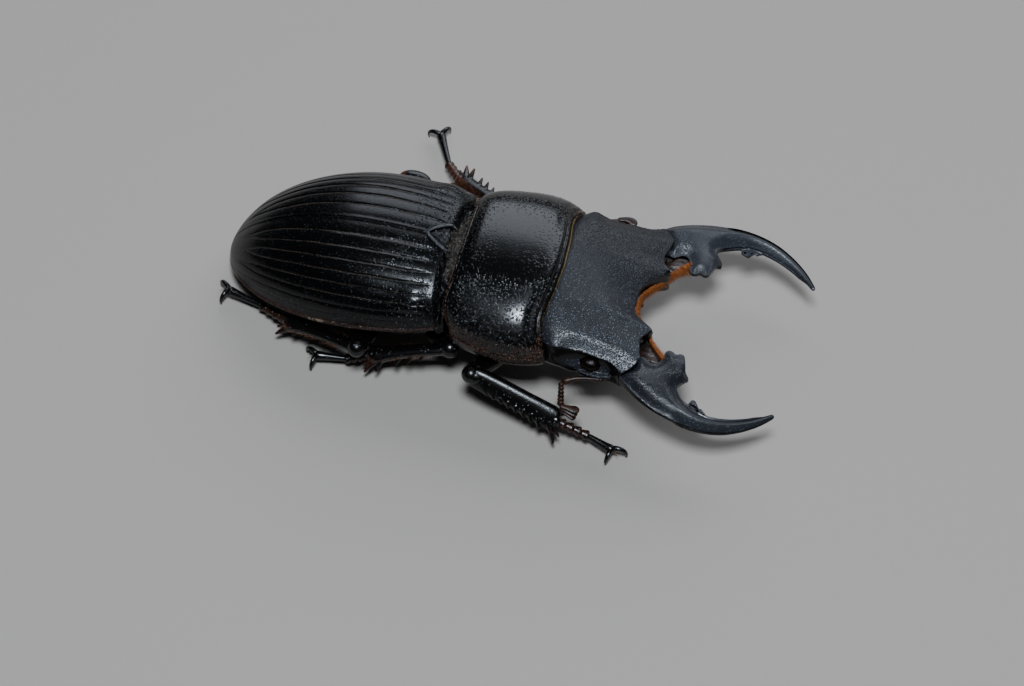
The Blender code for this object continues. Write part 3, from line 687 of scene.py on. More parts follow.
def pronotum():
    columns, under, stations = 200, 60, 130
    turn = np.linspace(0, math.pi, columns)[None, :]
    u = np.linspace(0, 1, stations)
    share = (0.5 - 0.5 * np.cos(math.pi * u))[:, None] * 0.65 + 0.35 * u[:, None]
    x, y, z, side, fore, aft = shield_surface(share, turn)
    x_low, y_low, half, edge = shield_plan(share, np.linspace(math.pi, 0, under)[None, :])
    rim = edge - 0.7
    keel = blend(rim, 2.3, smooth([(0, 0.55), (0.25, 1), (1, 0.75)], share))
    bulge = 1 / (1 + (np.abs(y_low) / 4.3) ** 4)
    z_low = blend(rim, keel, bulge) - 0.12 * hump(y_low, 0, 0.5) * step(0.2, 0.4, share)
    z_low = z_low + 0.55 * (1 - step(0.0, 0.35, half - np.abs(y_low)))
    rings = np.stack([np.concatenate([x, x_low], 1), np.concatenate([y, 0.985 * y_low], 1),
                      np.concatenate([z, z_low], 1)], 2)
    item = skin("pronotum_shell", rings)
    near = np.minimum(side, np.minimum(fore, aft))
    rust = np.exp(-side / 0.42) + 0.95 * np.exp(-aft / 0.55) + 0.4 * np.exp(-fore / 0.3)
    rust = rust + 0.35 * hump(side, 0.3, 0.9) * (0.5 + 0.5 * step(6.5, 9.0, aft))
    rust = rust + 0.5 * np.exp(-fore / 0.9) * step(4.5, 6.5, np.abs(y))
    pits = 0.06 + 0.94 * step(2.0, 7.0, -y) + 0.3 * step(2.5, 6.5, y) + 0.8 * np.exp(-near / 1.1)
    # Painted glints, most on the right side and along the margins, where the light falls.
    painted_glint_share = 0.05 + 0.75 * step(2.0, 7.0, -y) + 0.45 * np.exp(-near / 1.0)
    for name, value in (("rust", np.clip(rust, 0, 1)), ("pits", np.clip(pits, 0, 1)), ("painted_glint_share", painted_glint_share)):
        flat = np.concatenate([value, np.full((stations, under), 0.6)], 1).ravel()
        note(item, **{name: np.concatenate([flat, [0, 0]])})
    return put_away(item, "shield", "cuticle_gloss", "pronotum", crease=60)


# Head

HEAD_HALF_WIDTH = 8.15
HEAD_COLUMNS = 150
HEAD_WALL_POINTS = 26


def head_front(y):
    edge = [(0.0, 37.65), (0.9, 37.75), (1.6, 38.1), (2.15, 38.6), (2.6, 39.2), (3.0, 39.75), (3.3, 39.95),
            (3.6, 39.75), (4.0, 39.3), (4.6, 39.15), (5.3, 39.3), (6.6, 39.5), (7.3, 39.15), (8.15, 38.2)]
    return smooth(edge, np.abs(y))


def head_ridge(share):
    """Half the distance between the two ridges over the eyes, from the neck to the front corners."""
    halves = [(0.0, 7.1), (0.12, 7.5), (0.25, 7.4), (0.45, 7.25), (0.65, 7.35), (0.85, 7.5), (1.0, 8.05)]
    return smooth(halves, share)


def throat_height(share):
    return blend(3.7, 4.9, share)


def head_section(share):
    """A ring round the head: over the top, down the hollow at the eye and back under the throat."""
    place = np.linspace(1, -1, HEAD_COLUMNS)
    place = np.sign(place) * (1 - (1 - np.abs(place)) ** 1.25)
    ridge = float(head_ridge(share))
    y = ridge * place
    crest = blend(10.0, 7.95, share ** 1.15)
    fall = float(smooth([(0.0, 2.1), (0.12, 1.45), (0.3, 0.95), (0.6, 0.5), (0.85, 0.2), (1.0, 0.15)], share))
    z = crest - fall * np.abs(place) ** 2.8 - 0.55 * share ** 4 * hump(y, 0, 1.9)
    z = z - 0.32 * hump(share, 0.93, 0.3) * hump(y, 0, 2.7) - 0.1 * (1 - step(0.0, 0.05, share))
    z = z - 0.10 * hump(share, 0.3, 0.09) * hump(np.abs(y), 2.6, 1.6)
    z = z - 0.42 * step(0.80, 1.0, np.abs(place)) * step(0.12, 0.35, share)
    hollow = float(step(0.05, 0.42, share) * (1 - step(0.7, 1.0, share)))
    top = float(z[0])
    floor = throat_height(share)
    wall = [(-0.10 * hollow, 0.12), (0.05 - 0.42 * hollow, 0.4), (0.1 - 0.5 * hollow, 0.9),
            (0.1 - 0.3 * hollow, 1.5), (0.1 + 0.15 * hollow, 2.1), (0.05 + 0.35 * hollow, 2.6),
            (-0.15 + 0.2 * hollow, 3.1), (-0.7, 3.6)]
    drops = np.linspace(0.06, 3.6, HEAD_WALL_POINTS)
    outs = smooth([(drop, out) for out, drop in [(0.0, 0.0)] + wall], drops)
    right = [(-ridge - out, max(top - drop, floor + 0.3 + 0.02 * drop)) for out, drop in zip(outs, drops)]
    left = [(-a, b) for a, b in right[::-1]]
    span = np.linspace(-1, 1, HEAD_COLUMNS // 2)
    lip = share ** 6 * np.exp(-(span * (ridge - 0.9) / 2.6) ** 4)
    low_y = span * (ridge - 0.9)
    low_z = blend(floor + 0.7 * np.abs(span) ** 3, crest - 1.75, lip)
    ring_y = np.concatenate([y, [a for a, b in right], low_y, [a for a, b in left]])
    ring_z = np.concatenate([z, [b for a, b in right], low_z, [b for a, b in left]])
    back = shield_front(ring_y) + 0.1
    spread = np.clip(np.abs(ring_y) * HEAD_HALF_WIDTH / (ridge + 0.1), 0, HEAD_HALF_WIDTH)
    return np.stack([blend(back, head_front(spread), share), ring_y, ring_z], 1)


def shut(ring):
    """The ring of an open end with its top and bottom brought together, which leaves an upright wall."""
    low = ring[-HEAD_WALL_POINTS - HEAD_COLUMNS // 2:-HEAD_WALL_POINTS]
    top = ring[:HEAD_COLUMNS]
    over = np.interp(ring[:, 1], top[::-1, 1], top[::-1, 2])
    under = np.interp(ring[:, 1], low[:, 1], low[:, 2])
    return np.stack([ring[:, 0], ring[:, 1], (over + under) / 2], 1)


def head():
    rings = [head_section(share) for share in np.linspace(0, 1, 90)]
    rings = [shut(rings[0])] + rings + [shut(rings[-1])]
    parts = [skin("skull", rings, capped=False)]
    for way in (1, -1):
        parts.append(ball("horn", (39.5, way * 3.25, 7.4), (0.5, 0.34, 0.36), 28, 20))
        cheek = path([(33.9, way * 7.35, 5.7), (34.8, way * 7.72, 5.62), (36.2, way * 7.85, 5.75),
                      (37.4, way * 7.8, 6.05)], 16)
        parts.append(taper("cheek", cheek, [(0, 0.08), (0.3, 0.24), (0.75, 0.24), (1, 0.08)], 16))
    item = melt("head_shell", parts, grain=0.077, soften=5)
    x, y, z = spots(item).T
    upward = spots(item, "normal")[:, 2]
    tip = step(39.3, 39.75, x) * hump(np.abs(y), 3.25, 0.6)
    side_wall = step(6.3, 6.8, np.abs(y)) * (1 - step(0.25, 0.6, upward))
    front_wall = step(36.8, 37.5, x) * (1 - step(0.1, 0.45, upward))
    # Horn tips are glossy black; the side walls, the notch's front wall and the low parts are also painted
    # black as shade.
    gloss = np.clip(tip + side_wall + front_wall + (1 - step(5.0, 6.2, z)), 0, 1)
    # Painted sparkle, most on the right side and along the right ridge, where the light falls.
    spark = 0.12 + 0.45 * step(4.0, -3.0, y) + 0.15 * hump(y, -6.7, 1.3) * step(32.5, 35.5, x)
    # Painted shade: the side walls get little painted light or sparkle.
    top = 1 - 0.9 * side_wall
    # Painted light: paler base colour over the right side and the middle, darker towards the left side.
    note(item, gloss=gloss, even=0.35 * step(-1.0, 5.0, y) + 0.6 * step(-4.8, -6.2, y),
         spark=np.clip(spark, 0, 1) * top, light=(0.08 + 0.34 * step(4.5, 0.5, y)) * top)
    return put_away(item, "grain", "cuticle_matte", "head")


# Jaws

def jaw_height(x):
    return blend(6.5, 4.45, np.maximum(0.0, (x - 39.0) / 13.2))


JAW_OUTER = [(38.2, 8.25), (39.3, 9.0), (40.5, 9.68), (42.1, 10.3), (44.0, 10.7), (45.5, 10.82),
             (47.0, 10.68), (48.5, 10.25), (50.0, 9.45), (51.3, 8.45), (52.25, 7.4), (52.42, 7.08)]
JAW_INNER = [(52.15, 6.95), (51.4, 7.55), (50.15, 8.35), (48.65, 8.98), (47.3, 9.3), (46.2, 9.33),
             (45.2, 9.1), (44.3, 8.7), (43.6, 8.15), (43.25, 7.6), (43.4, 7.1), (43.9, 6.6), (43.95, 6.3),
             (43.6, 5.85), (43.42, 5.2), (43.15, 4.5), (42.8, 4.35), (42.4, 4.5), (42.05, 4.3),
             (41.65, 4.28), (41.4, 4.65), (41.3, 5.3), (40.95, 5.85), (40.4, 5.9), (39.7, 5.5)]
JAW_BASE = [(39.1, 5.9), (38.9, 6.9), (38.4, 7.6)]


def jaw(side, word):
    shorter = 0.5 if side < 0 else 0.0
    drawn = [(x, y, 0) for x, y in JAW_OUTER + JAW_INNER + JAW_BASE + JAW_OUTER[:1]]
    outline, border = ([(point.x, point.y) for point in path(drawn, count)] for count in (260, 700))
    parts = [plate("sickle", outline[:-1], 1.0)]
    along = 0.75 if side > 0 else 0.0
    shy = 0.4 if side > 0 else 0.0
    for x, foot, tip, radius in ((45.1, 9.5, 8.2 + shy, 0.85), (45.9, 9.6, 8.9 + shy / 3, 0.65)):
        parts.append(thorn("low_tooth", (x + along, foot, -0.2), (x - 0.2 + along, tip, -0.4), radius, 20,
                           0.22 + shy / 2))
    item = melt("mandible_%s_shell" % word, parts, grain=0.055, soften=5)
    x, y, w = spots(item).T
    inner = smooth(sorted(JAW_INNER[:8]), x)
    outer = smooth(JAW_OUTER, x)
    across = np.clip((y - inner) / np.maximum(outer - inner, 0.3), 0, 1)
    arm = step(43.2, 44.4, x)
    lobe = (1 - arm) * (1 - step(5.0, 8.8, y))
    gap = np.full(len(x), 9.0)
    for spot in border:
        gap = np.minimum(gap, np.hypot(x - spot[0], y - spot[1]))
    thick = smooth([(38.5, 1.15), (40.0, 1.2), (42.0, 1.0), (44.5, 0.78), (47.0, 0.66), (49.0, 0.56),
                    (51.0, 0.42), (52.4, 0.24)], x)
    thick = blend(thick, 0.56, lobe)
    middle = blend(jaw_height(x), 6.62, lobe)
    crown = -0.45 * np.abs(2 * across - 0.9) ** 2.2 * arm - 0.25 * (1 - arm) * step(8.2, 10.4, y)
    z = middle + thick * (w * (1 - 0.62 * hump(gap, 0, 0.62)) + np.where(w > 0, crown, -0.4 * crown))
    y = y - 0.3 * (1 - across) * arm * (1 - step(-0.6, 1.0, w)) * (1 - step(50.5, 52, x))
    x = x - shorter * step(43.0, 52.0, x)
    points = np.stack([x, side * y, z], 1)
    move_to(item, points)
    point_out(item)
    normals = spots(item, "normal")
    wall = 1 - step(0.25, 0.62, normals[:, 2])
    # Tips glossier and blacker; steep and downward-facing faces painted black, partly as glossy cuticle and
    # partly as shade.
    gloss = 0.95 * wall + 0.35 * step(48.0, 52.0, x) + 0.5 * (1 - step(-0.6, 0.1, normals[:, 2]))
    # Painted sparkle on the arm's faces that turn to the right, where the light falls.
    tilt = step(0.05, 0.4, -normals[:, 1]) * (1 - wall) * step(43.5, 45.5, x)
    # More painted sparkle on the right jaw, the side the light falls on.
    grain = 0.28 if side < 0 else 0.12
    # Painted light: a paler base colour on the left jaw as a painted sheen, and on the right jaw's arm.
    note(item, gloss=np.clip(gloss, 0, 1), even=0.6 + 0.25 * step(41.0, 44.0, x),
         spark=np.clip(grain * (1 - step(43.0, 46.0, x)) + 0.4 * tilt, 0, 1),
         light=0.35 + 0.3 * arm if side < 0 else 0.75 + 0.1 * arm)
    return put_away(item, "grain", "cuticle_matte", "mandible_" + word)


# Eyes, feelers and mouth parts

def eye(side, word):
    item = ball("eye_%s_dome" % word, (35.3, side * (EYE_AT.y - 0.02), 6.3), (1.0, 0.82, 0.66), 48, 32)
    return put_away(item, "eye", "eye", "eye_" + word)


def feeler(side, word):
    elbow = Vector((33.2, side * 8.95, 5.3))
    scape = path([(36.5, side * 8.0, 5.55), (35.6, side * 8.2, 5.68), (34.4, side * 8.45, 5.6), elbow], 14)
    parts = [taper("scape", scape, [(0, 0.19), (0.2, 0.16), (0.7, 0.24), (0.92, 0.34), (1, 0.2)], 16)]
    parts.append(ball("knuckle", scape[0], 0.26, 20, 14))
    wrist = Vector((33.55, side * (10.5 if side < 0 else 9.95), 4.1))
    for k in range(6):
        bead = blend(elbow, wrist, (k + 0.65) / 6.0)
        parts.append(ball("bead", bead, (0.27 + 0.015 * k, 0.24, 0.26 + 0.015 * k), 16, 10))
    for k in range(3):
        root = wrist + Vector((-0.05, side * 0.15, -0.3 * k + 0.12))
        middle = wrist + Vector((0.95, side * (0.2 + 0.12 * k) + 0.22 * (side > 0), -0.34 * k + 0.05))
        tip = wrist + Vector((1.75 - 0.12 * k, side * (0.1 + 0.15 * k), -0.38 * k - 0.08))
        line = path([root, middle, tip], 9)
        wide = smooth([(0, 0.22), (0.35, 0.28), (0.8, 0.42), (1, 0.16)], np.linspace(0, 1, 9))
        parts.append(tube("leaf", [(point, w, 0.15) for point, w in zip(line, wide)], 14))
    item = round_off(join("antenna_%s_beads" % word, parts))
    return put_away(item, "brown", "cuticle_brown", "antenna_" + word)


def mouth_feeler(kind, root, tip, side, word):
    root, tip = (Vector((x, side * y, z)) for x, y, z in (root, tip))
    parts = []
    for first, last, size in ((0.0, 0.34, 0.25), (0.3, 0.66, 0.27), (0.62, 1.0, 0.26)):
        line = path([blend(root, tip, share) for share in (first, (first + last) / 2, last)], 7)
        profile = [(share, part * size) for share, part in ((0, 0.55), (0.6, 1.0), (0.9, 0.95), (1, 0.5))]
        parts.append(taper("joint", line, profile, 14))
    name = "%s_palp_%s" % (kind, word)
    item = round_off(join(name + "_joints", parts))
    return put_away(item, "brown", "cuticle_brown", name)


def chin():
    rings = []
    for share in np.linspace(0, 1, 14):
        x = blend(33.2, 37.0, share)
        top = throat_height((x - 31.3) / 7.5) - 0.25
        half = float(smooth([(0.0, 2.1), (0.2, 3.1), (0.6, 3.6), (1.0, 2.6)], share))
        ring = []
        for turn in np.linspace(0, 2 * math.pi, 36, endpoint=False):
            y = half * np.sign(math.cos(turn)) * abs(math.cos(turn)) ** 0.6
            drop = 0.42 * np.sign(math.sin(turn)) * abs(math.sin(turn)) ** 0.5
            ring.append((x, y, top - 0.45 + drop * (1 - 0.25 * (share * 2 - 1) ** 4)))
        rings.append(ring)
    item = round_off(skin("mentum_plate", rings))
    note(item, rust=0.35)
    return put_away(item, "leg", "cuticle_gloss", "mentum")


# Underside

def row_at(x, y, z):
    """Points across the body, one for each y."""
    return np.stack(np.broadcast_arrays(x, y, z), 1)


def under_ring(x, half, floor, power, line=0.0, band=0.0):
    """A ring of the underside, flat on top; line and band lift it to a furrow along and one across."""
    top = float(wing_edge(min(x, 20.5))) - 0.75
    floor = min(floor, top - 0.75)
    turn = np.linspace(0, math.pi, 90)
    y = half * np.cos(turn)
    low = blend(top - 0.5, floor, np.sin(turn) ** power) + line * hump(y, 0, 0.22) + band
    return np.concatenate([row_at(x, y, top), row_at(x, 0.97 * y, low)[::-1]])


def under_plates(name, rings, node):
    item = skin(name, rings)
    note(item, rust=0.2 + 0.25 * step(3.5, 5.5, np.abs(spots(item)[:, 1])))
    return put_away(item, "leg", "cuticle_gloss", node, crease=60)


BELLY_BACK = 1.6
BELLY_FRONT = 13.2
BELLY_LENGTH = 11.6
BELLY_PLATES = 5


def belly():
    """The plates under the wing cases, each overlapping the next."""
    rings = []
    for x in np.linspace(BELLY_BACK, BELLY_FRONT, 101):
        part = (x - BELLY_BACK) / BELLY_LENGTH * BELLY_PLATES % 1.0
        proud = 0.16 * step(0.0, 0.12, part) * (1 - 0.6 * part)
        floor = float(smooth([(1.6, 0.95), (5.0, 1.25), (13.2, 1.9)], x)) - proud
        rings.append(under_ring(x, float(wing_half_width(x)) - 2.2 + 0.5 * proud, floor, 0.75))
    return under_plates("abdomen_plates", rings, "abdomen")


def hind_body():
    rings = []
    for x in np.linspace(13.5, 21.3, 50):
        inset = float(smooth([(13.5, 1.5), (16.0, 1.0), (20.0, 1.0), (21.3, 1.6)], x))
        floor = float(smooth([(13.5, 2.0), (15.5, 1.7), (19.5, 1.8), (21.3, 2.6)], x))
        rings.append(under_ring(x, float(wing_half_width(x)) - inset, floor, 0.8,
                                0.14 * step(15.2, 16, x), 0.1 * hump(x, 18.6, 0.18)))
    return under_plates("hind_body_plates", rings, "hind_body")


STRIP_LUMPS = 300
TRIANGLE_ARM = [(18.6, 0.02), (19.0, 0.45), (19.7, 0.95), (20.5, 1.32), (21.0, 1.2)]


def little_shield():
    """The triangle between the wing cases, and the gritty strip that joins it to the pronotum."""
    reach, columns = 6.9, 160
    draw = random.Random(3)
    lumps = [(draw.uniform(20.6, 22.2), draw.uniform(-7.0, 7.0), draw.uniform(0.10, 0.28))
             for _ in range(STRIP_LUMPS)]
    rings = []
    for share in np.linspace(0, 1, 20):
        y = np.linspace(-reach, reach, columns)
        front, back = shield_back(y) - 0.02, wing_base(np.abs(y)) - 0.35
        x = blend(back, front, share)
        top = 9.2 - 2.9 * (np.abs(y) / 7.5) ** 2.2 - 0.3 * hump(share, 0.4, 0.3) + 0.3 * step(0.6, 1.0, share)
        for spot_x, spot_y, size in lumps:
            top = top + 0.15 * hump(np.hypot(x - spot_x, y - spot_y), 0, size)
        rings.append(np.concatenate([row_at(x, y, top), row_at(x, y, top - 1.3)[::-1]]))
    strip = skin("strip", rings)
    plate_rings = []
    for share in np.linspace(0, 1, 40):
        x = blend(18.2, 21.3, share)
        half = float(smooth([(0.0, 0.1), (0.2, 0.62), (0.5, 1.15), (0.75, 1.5), (1.0, 1.75)], share))
        y = half * np.cos(np.linspace(0, math.pi, 60))
        level = wing_crest(x) + 0.05 - 1.0 * step(0.72, 1.0, share)
        hollow = hump(np.abs(y), half - 0.45, 0.22) * step(0.15, 0.4, share)
        raised = level - 0.30 * hollow - 0.12 * (1 - step(0.0, 0.1, half - np.abs(y)))
        raised = raised + 0.09 * np.sin(9.0 * x + 4.0 * y) * np.cos(7.0 * y - 3.0 * x) * step(0.2, 0.5, share)
        plate_rings.append(np.concatenate([row_at(x, y, raised), row_at(x, y, 9.0)[::-1]]))
    parts = [strip, skin("plate", plate_rings)]
    for way in (1, -1):
        arm = path([(x, way * y, 0) for x, y in TRIANGLE_ARM], 20)
        for point in arm:
            point.z = float(wing_crest(point.x)) + 0.12 - 0.35 * float(step(20.3, 21.0, point.x))
        parts.append(taper("arm", arm, [(0, 0.10), (0.2, 0.17), (0.7, 0.15), (1, 0.08)], 14))
    item = melt("scutellum_plate", parts, grain=0.045, soften=2)
    x, y, z = spots(item).T
    middle = smooth(TRIANGLE_ARM, x)
    ridge = hump(np.abs(y), middle, 0.16) * (1 - step(20.6, 21.1, x)) * step(-0.08, 0.06, z - wing_crest(x))
    hollow = (1 - step(1.2, 1.7, np.abs(y))) * (1 - step(20.2, 21.0, x))
    clean = 0.6 * hollow + 0.85 * step(2.6, 4.6, np.abs(y))
    note(item, ridge=np.clip(ridge, 0, 1), clean=np.clip(clean, 0, 1))
    return put_away(item, "silt", "cuticle_dusty", "scutellum")


# Legs

# Hip, knee, ankle, sole and end of each leg, and the turn of its claws in degrees
LEGS = {
    "fore_right": ((28.2, -3.3, 3.0), (25.2, -9.7, 4.5), (33.45, -11.15, 2.4), (36.3, -11.25, 1.3),
                   (38.8, -12.0, 1.0), -35),
    "mid_right": ((19.4, -3.3, 2.4), (22.6, -7.3, 4.1), (15.6, -8.5, 2.1), (13.4, -8.8, 1.1),
                  (10.5, -9.1, 1.0), 20),
    "hind_right": ((14.9, -3.6, 2.3), (14.6, -9.3, 4.0), (7.4, -6.9, 2.1), (4.4, -5.2, 1.0),
                   (0.8, -4.3, 1.0), 30),
    "fore_left": ((28.2, 3.3, 3.0), (26.4, 8.3, 4.3), (34.3, 10.0, 2.3), (36.4, 10.5, 1.1),
                  (38.0, 11.5, 1.0), 30),
    "mid_left": ((19.4, 3.3, 2.4), (23.2, 8.7, 4.4), (18.2, 11.8, 2.6), (16.5, 14.2, 1.2),
                 (14.7, 17.7, 1.0), 0),
    "hind_left": ((14.9, 3.6, 2.3), (14.6, 9.5, 4.0), (8.6, 7.9, 2.1), (6.0, 6.7, 1.0),
                  (3.6, 5.9, 1.0), -30),
}
KNEE_RADIUS = 0.855
FOOT_JOINTS = 4


def coxa(name):
    hip = Vector(LEGS[name][0])
    side = -1 if name.endswith("right") else 1
    item = ball("coxa_%s_egg" % name, hip + Vector((0.2, -1.3 * side, 0.45)), (1.2, 1.4, 1.15))
    note(item, rust=0.35)
    return put_away(item, "leg", "cuticle_gloss", "coxa_" + name)


def femur(name):
    hip, knee = Vector(LEGS[name][0]), Vector(LEGS[name][1])
    along = (knee - hip).normalized()
    shares = np.linspace(0, 1, 16)
    wide = [(0, 0.62), (0.12, 0.85), (0.3, 1.02), (0.6, 1.15), (0.82, 0.95), (0.92, 0.86), (1, 0.9)]
    high = [(0, 0.6), (0.12, 0.75), (0.3, 0.78), (0.6, 0.82), (0.82, 0.74), (0.92, 0.78), (1, 0.88)]
    stations = [(blend(hip - along * 0.3, knee, share), w, h)
                for share, w, h in zip(shares, smooth(wide, shares), smooth(high, shares))]
    parts = [tube("thigh", stations, 24), ball("knee", knee, KNEE_RADIUS)]
    parts.append(ball("knee_cap", knee - along * 0.7, (0.95, 0.95, 0.85), 28, 18))
    if name == "hind_left":
        parts.append(ball("far_knee", knee + Vector((0.0, 0.2, 0.3)), (1.5, 0.8, 0.72)))
    elif name == "fore_right":
        parts.append(ball("near_knee", knee + Vector((0.35, 0.0, -0.1)), (1.05, 0.85, 0.82)))
    parts.append(ball("hip", hip, 0.85, 28, 18))
    item = melt("femur_%s_shell" % name, parts, grain=0.07, soften=5)
    points = spots(item)
    away = np.linalg.norm(points - np.array(hip), axis=1)
    far = (name == "hind_left") * (1 - step(13.2, 14.2, points[:, 0]))
    note(item, rust=np.clip(0.15 + 0.2 * hump(away, 0, 2.0) + 0.8 * far, 0, 1))
    return put_away(item, "leg", "cuticle_gloss", "femur_" + name)


RIDGED = [(1.0, -0.05), (0.93, 0.16), (0.7, 0.45), (0.42, 0.68), (0.15, 0.85), (-0.08, 0.95), (-0.3, 1.0),
          (-0.5, 0.99), (-0.7, 0.90), (-0.86, 0.68), (-0.97, 0.35), (-1.0, 0.0), (-0.9, -0.5), (-0.4, -0.9),
          (0.05, -1.0), (0.45, -0.85), (0.85, -0.45)]


def leg_frame(name):
    hip, knee, ankle = (Vector(point) for point in LEGS[name][:3])
    along = (ankle - knee).normalized()
    outward = along.cross(UP).normalized()
    if outward.dot((knee + ankle) / 2 - hip) < 0:
        outward = -outward
    return knee, ankle, along, outward


def tibia(name):
    knee, ankle, along, outward = leg_frame(name)
    fore = name.startswith("fore")
    tilt = math.radians(28 if fore else 25 if name.endswith("right") else -22)
    edge = outward * math.cos(tilt) - UP * math.sin(tilt)
    crest = UP * math.cos(tilt) + outward * math.sin(tilt)
    start = knee + along * 0.3
    if fore:
        wide = [(0.0, 0.9), (0.08, 0.98), (0.25, 1.0), (0.6, 1.02), (0.85, 1.1), (0.95, 1.08), (1.0, 0.8)]
        high = [(0.0, 0.72), (0.08, 0.70), (0.3, 0.60), (0.8, 0.54), (0.95, 0.54), (1.0, 0.45)]
    else:
        wide = [(0.0, 0.56), (0.08, 0.6), (0.4, 0.6), (0.75, 0.72), (0.92, 0.9), (1.0, 0.75)]
        high = [(0.0, 0.54), (0.08, 0.54), (0.5, 0.5), (0.9, 0.56), (1.0, 0.5)]
    shares = np.linspace(0, 1, 24)
    bow = UP * 0.14
    stations = []
    for share, w, h in zip(shares, smooth(wide, shares), smooth(high, shares)):
        stations.append((blend(start, ankle, share) + bow * math.sin(math.pi * share), w, h))
    parts = [tube("shin", stations, lean=crest, section=RIDGED)]
    parts.append(ball("cup", ankle - along * 0.15, 0.55, 24, 16))
    width = 1.0 if fore else 0.62
    if fore:
        teeth = [(0.17, 0.12, 0.34), (0.26, 0.16, 0.36), (0.35, 0.18, 0.36), (0.44, 0.20, 0.38),
                 (0.53, 0.24, 0.38), (0.62, 0.28, 0.40), (0.71, 0.34, 0.42), (0.81, 0.45, 0.46)]
    elif name.startswith("mid"):
        teeth = [(0.3, 0.45, 0.28), (0.45, 0.6, 0.3), (0.6, 0.65, 0.32), (0.84, 1.05, 0.38)]
    else:
        teeth = [(0.4, 0.4, 0.24), (0.6, 0.5, 0.26), (0.78, 0.6, 0.28)]
    for share, size, radius in teeth:
        root = blend(start, ankle, share) + bow * math.sin(math.pi * share) + edge * (width - 0.35)
        tip = root + edge * (0.3 + size) + along * (0.2 + 0.3 * size)
        parts.append(thorn("tooth", root, tip, radius, 12, 0.25))
    heel = blend(knee, ankle, 0.93)
    parts.append(thorn("fork", heel + edge * 0.4, heel + edge * (0.9 + width) + along, 0.46, 14, 0.2))
    parts.append(thorn("fork", heel + edge * 0.1, heel + edge * (0.2 + width) + along * 1.25, 0.38, 12, 0.2))
    parts.append(thorn("spur", heel - edge * 0.3, heel - edge * 0.9 + along * 1.2, 0.26, 12, 0.15))
    item = melt("tibia_%s_shell" % name, parts, grain=0.055, soften=3)
    points = spots(item) - np.array(knee)
    share = points @ np.array(along) / (ankle - knee).length
    out = points @ np.array(edge)
    rust = 0.05 + 0.2 * step(0.6, 1.3, out) + 0.15 * step(0.8, 1.0, share) + (0.0 if fore else 0.08)
    rust = rust + (0.16 + 0.26 * step(0.2, 0.6, np.abs(out))) * (name == "mid_left")
    note(item, rust=np.clip(rust, 0, 1))
    return put_away(item, "leg", "leg", "tibia_" + name)


CLAW_BEND = math.radians(112)
CLAW_REACH = 1.3
CLAW_DROP = 1.15


def claw_line(name, side):
    sole, end = Vector(LEGS[name][3]), Vector(LEGS[name][4])
    along = Vector((end.x - sole.x, end.y - sole.y, 0)).normalized()
    along.rotate(Matrix.Rotation(math.radians(LEGS[name][5]), 3, "Z"))
    across = along.cross(UP)
    heading = (along * 0.6 + across * side * 0.8).normalized()
    line = []
    for share in np.linspace(0, 1, 11):
        bend = share * CLAW_BEND
        drop = CLAW_DROP * (1 - math.cos(bend)) / (1 - math.cos(CLAW_BEND)) - 0.25 * math.sin(math.pi * share)
        line.append(end - along * 0.25 + heading * CLAW_REACH * math.sin(bend) + UP * (0.1 - drop))
    return line


def tarsus(name):
    ankle, sole, end = (Vector(point) for point in LEGS[name][2:5])
    parts = []
    for k in range(FOOT_JOINTS):
        first, last = blend(ankle, sole, k / FOOT_JOINTS), blend(ankle, sole, (k + 1.05) / FOOT_JOINTS)
        line = [blend(first, last, share) for share in np.linspace(0, 1, 7)]
        profile = [(0, 0.33), (0.3, 0.38), (0.8, 0.52), (0.95, 0.46), (1.0, 0.3)]
        parts.append(taper("joint", line, profile, 16, flat=0.88))
    shares = np.linspace(-0.03, 1, 12)
    sizes = smooth([(0, 0.25), (0.15, 0.28), (0.7, 0.38), (0.9, 0.46), (1.0, 0.32)], shares)
    parts.append(tube("last_joint", [(blend(sole, end, s), r, r) for s, r in zip(shares, sizes)], 16))
    profile = [(0, 0.27), (0.3, 0.23), (0.7, 0.14), (1.0, 0.04)]
    for side in (1, -1):
        parts.append(taper("claw", claw_line(name, side), profile, 12))
    item = round_off(join("tarsus_%s_joints" % name, parts))
    points = spots(item)
    points[:, 2] = np.maximum(points[:, 2], 0.0)
    move_to(item, points)
    reach = (points - np.array(ankle)) @ np.array((sole - ankle).normalized()) / (sole - ankle).length
    foot = 0.6 if name == "mid_left" else 0.5
    note(item, rust=np.clip(foot - (foot - 0.15) * step(0.8, 1.15, reach), 0, 1))
    return put_away(item, "leg", "cuticle_brown", "tarsus_" + name)


# Bristles

def bristle_shape():
    """One tapered bristle along +Z, modelled once and copied."""
    deselect()
    bpy.ops.mesh.primitive_cone_add(vertices=4, radius1=1.0, radius2=0.12, depth=1.0, location=(0, 0, 0.5))
    item = bpy.context.object
    bpy.ops.object.transform_apply()
    bpy.ops.object.mode_set(mode="EDIT")
    for height in (0.35, 0.7):
        bpy.ops.mesh.select_all(action="SELECT")
        bpy.ops.mesh.bisect(plane_co=(0, 0, height), plane_no=(0, 0, 1))
    bpy.ops.object.mode_set(mode="OBJECT")
    points = spots(item)
    faces = [list(face.vertices) for face in item.data.polygons]
    bpy.data.objects.remove(item, do_unlink=True)
    return points, faces


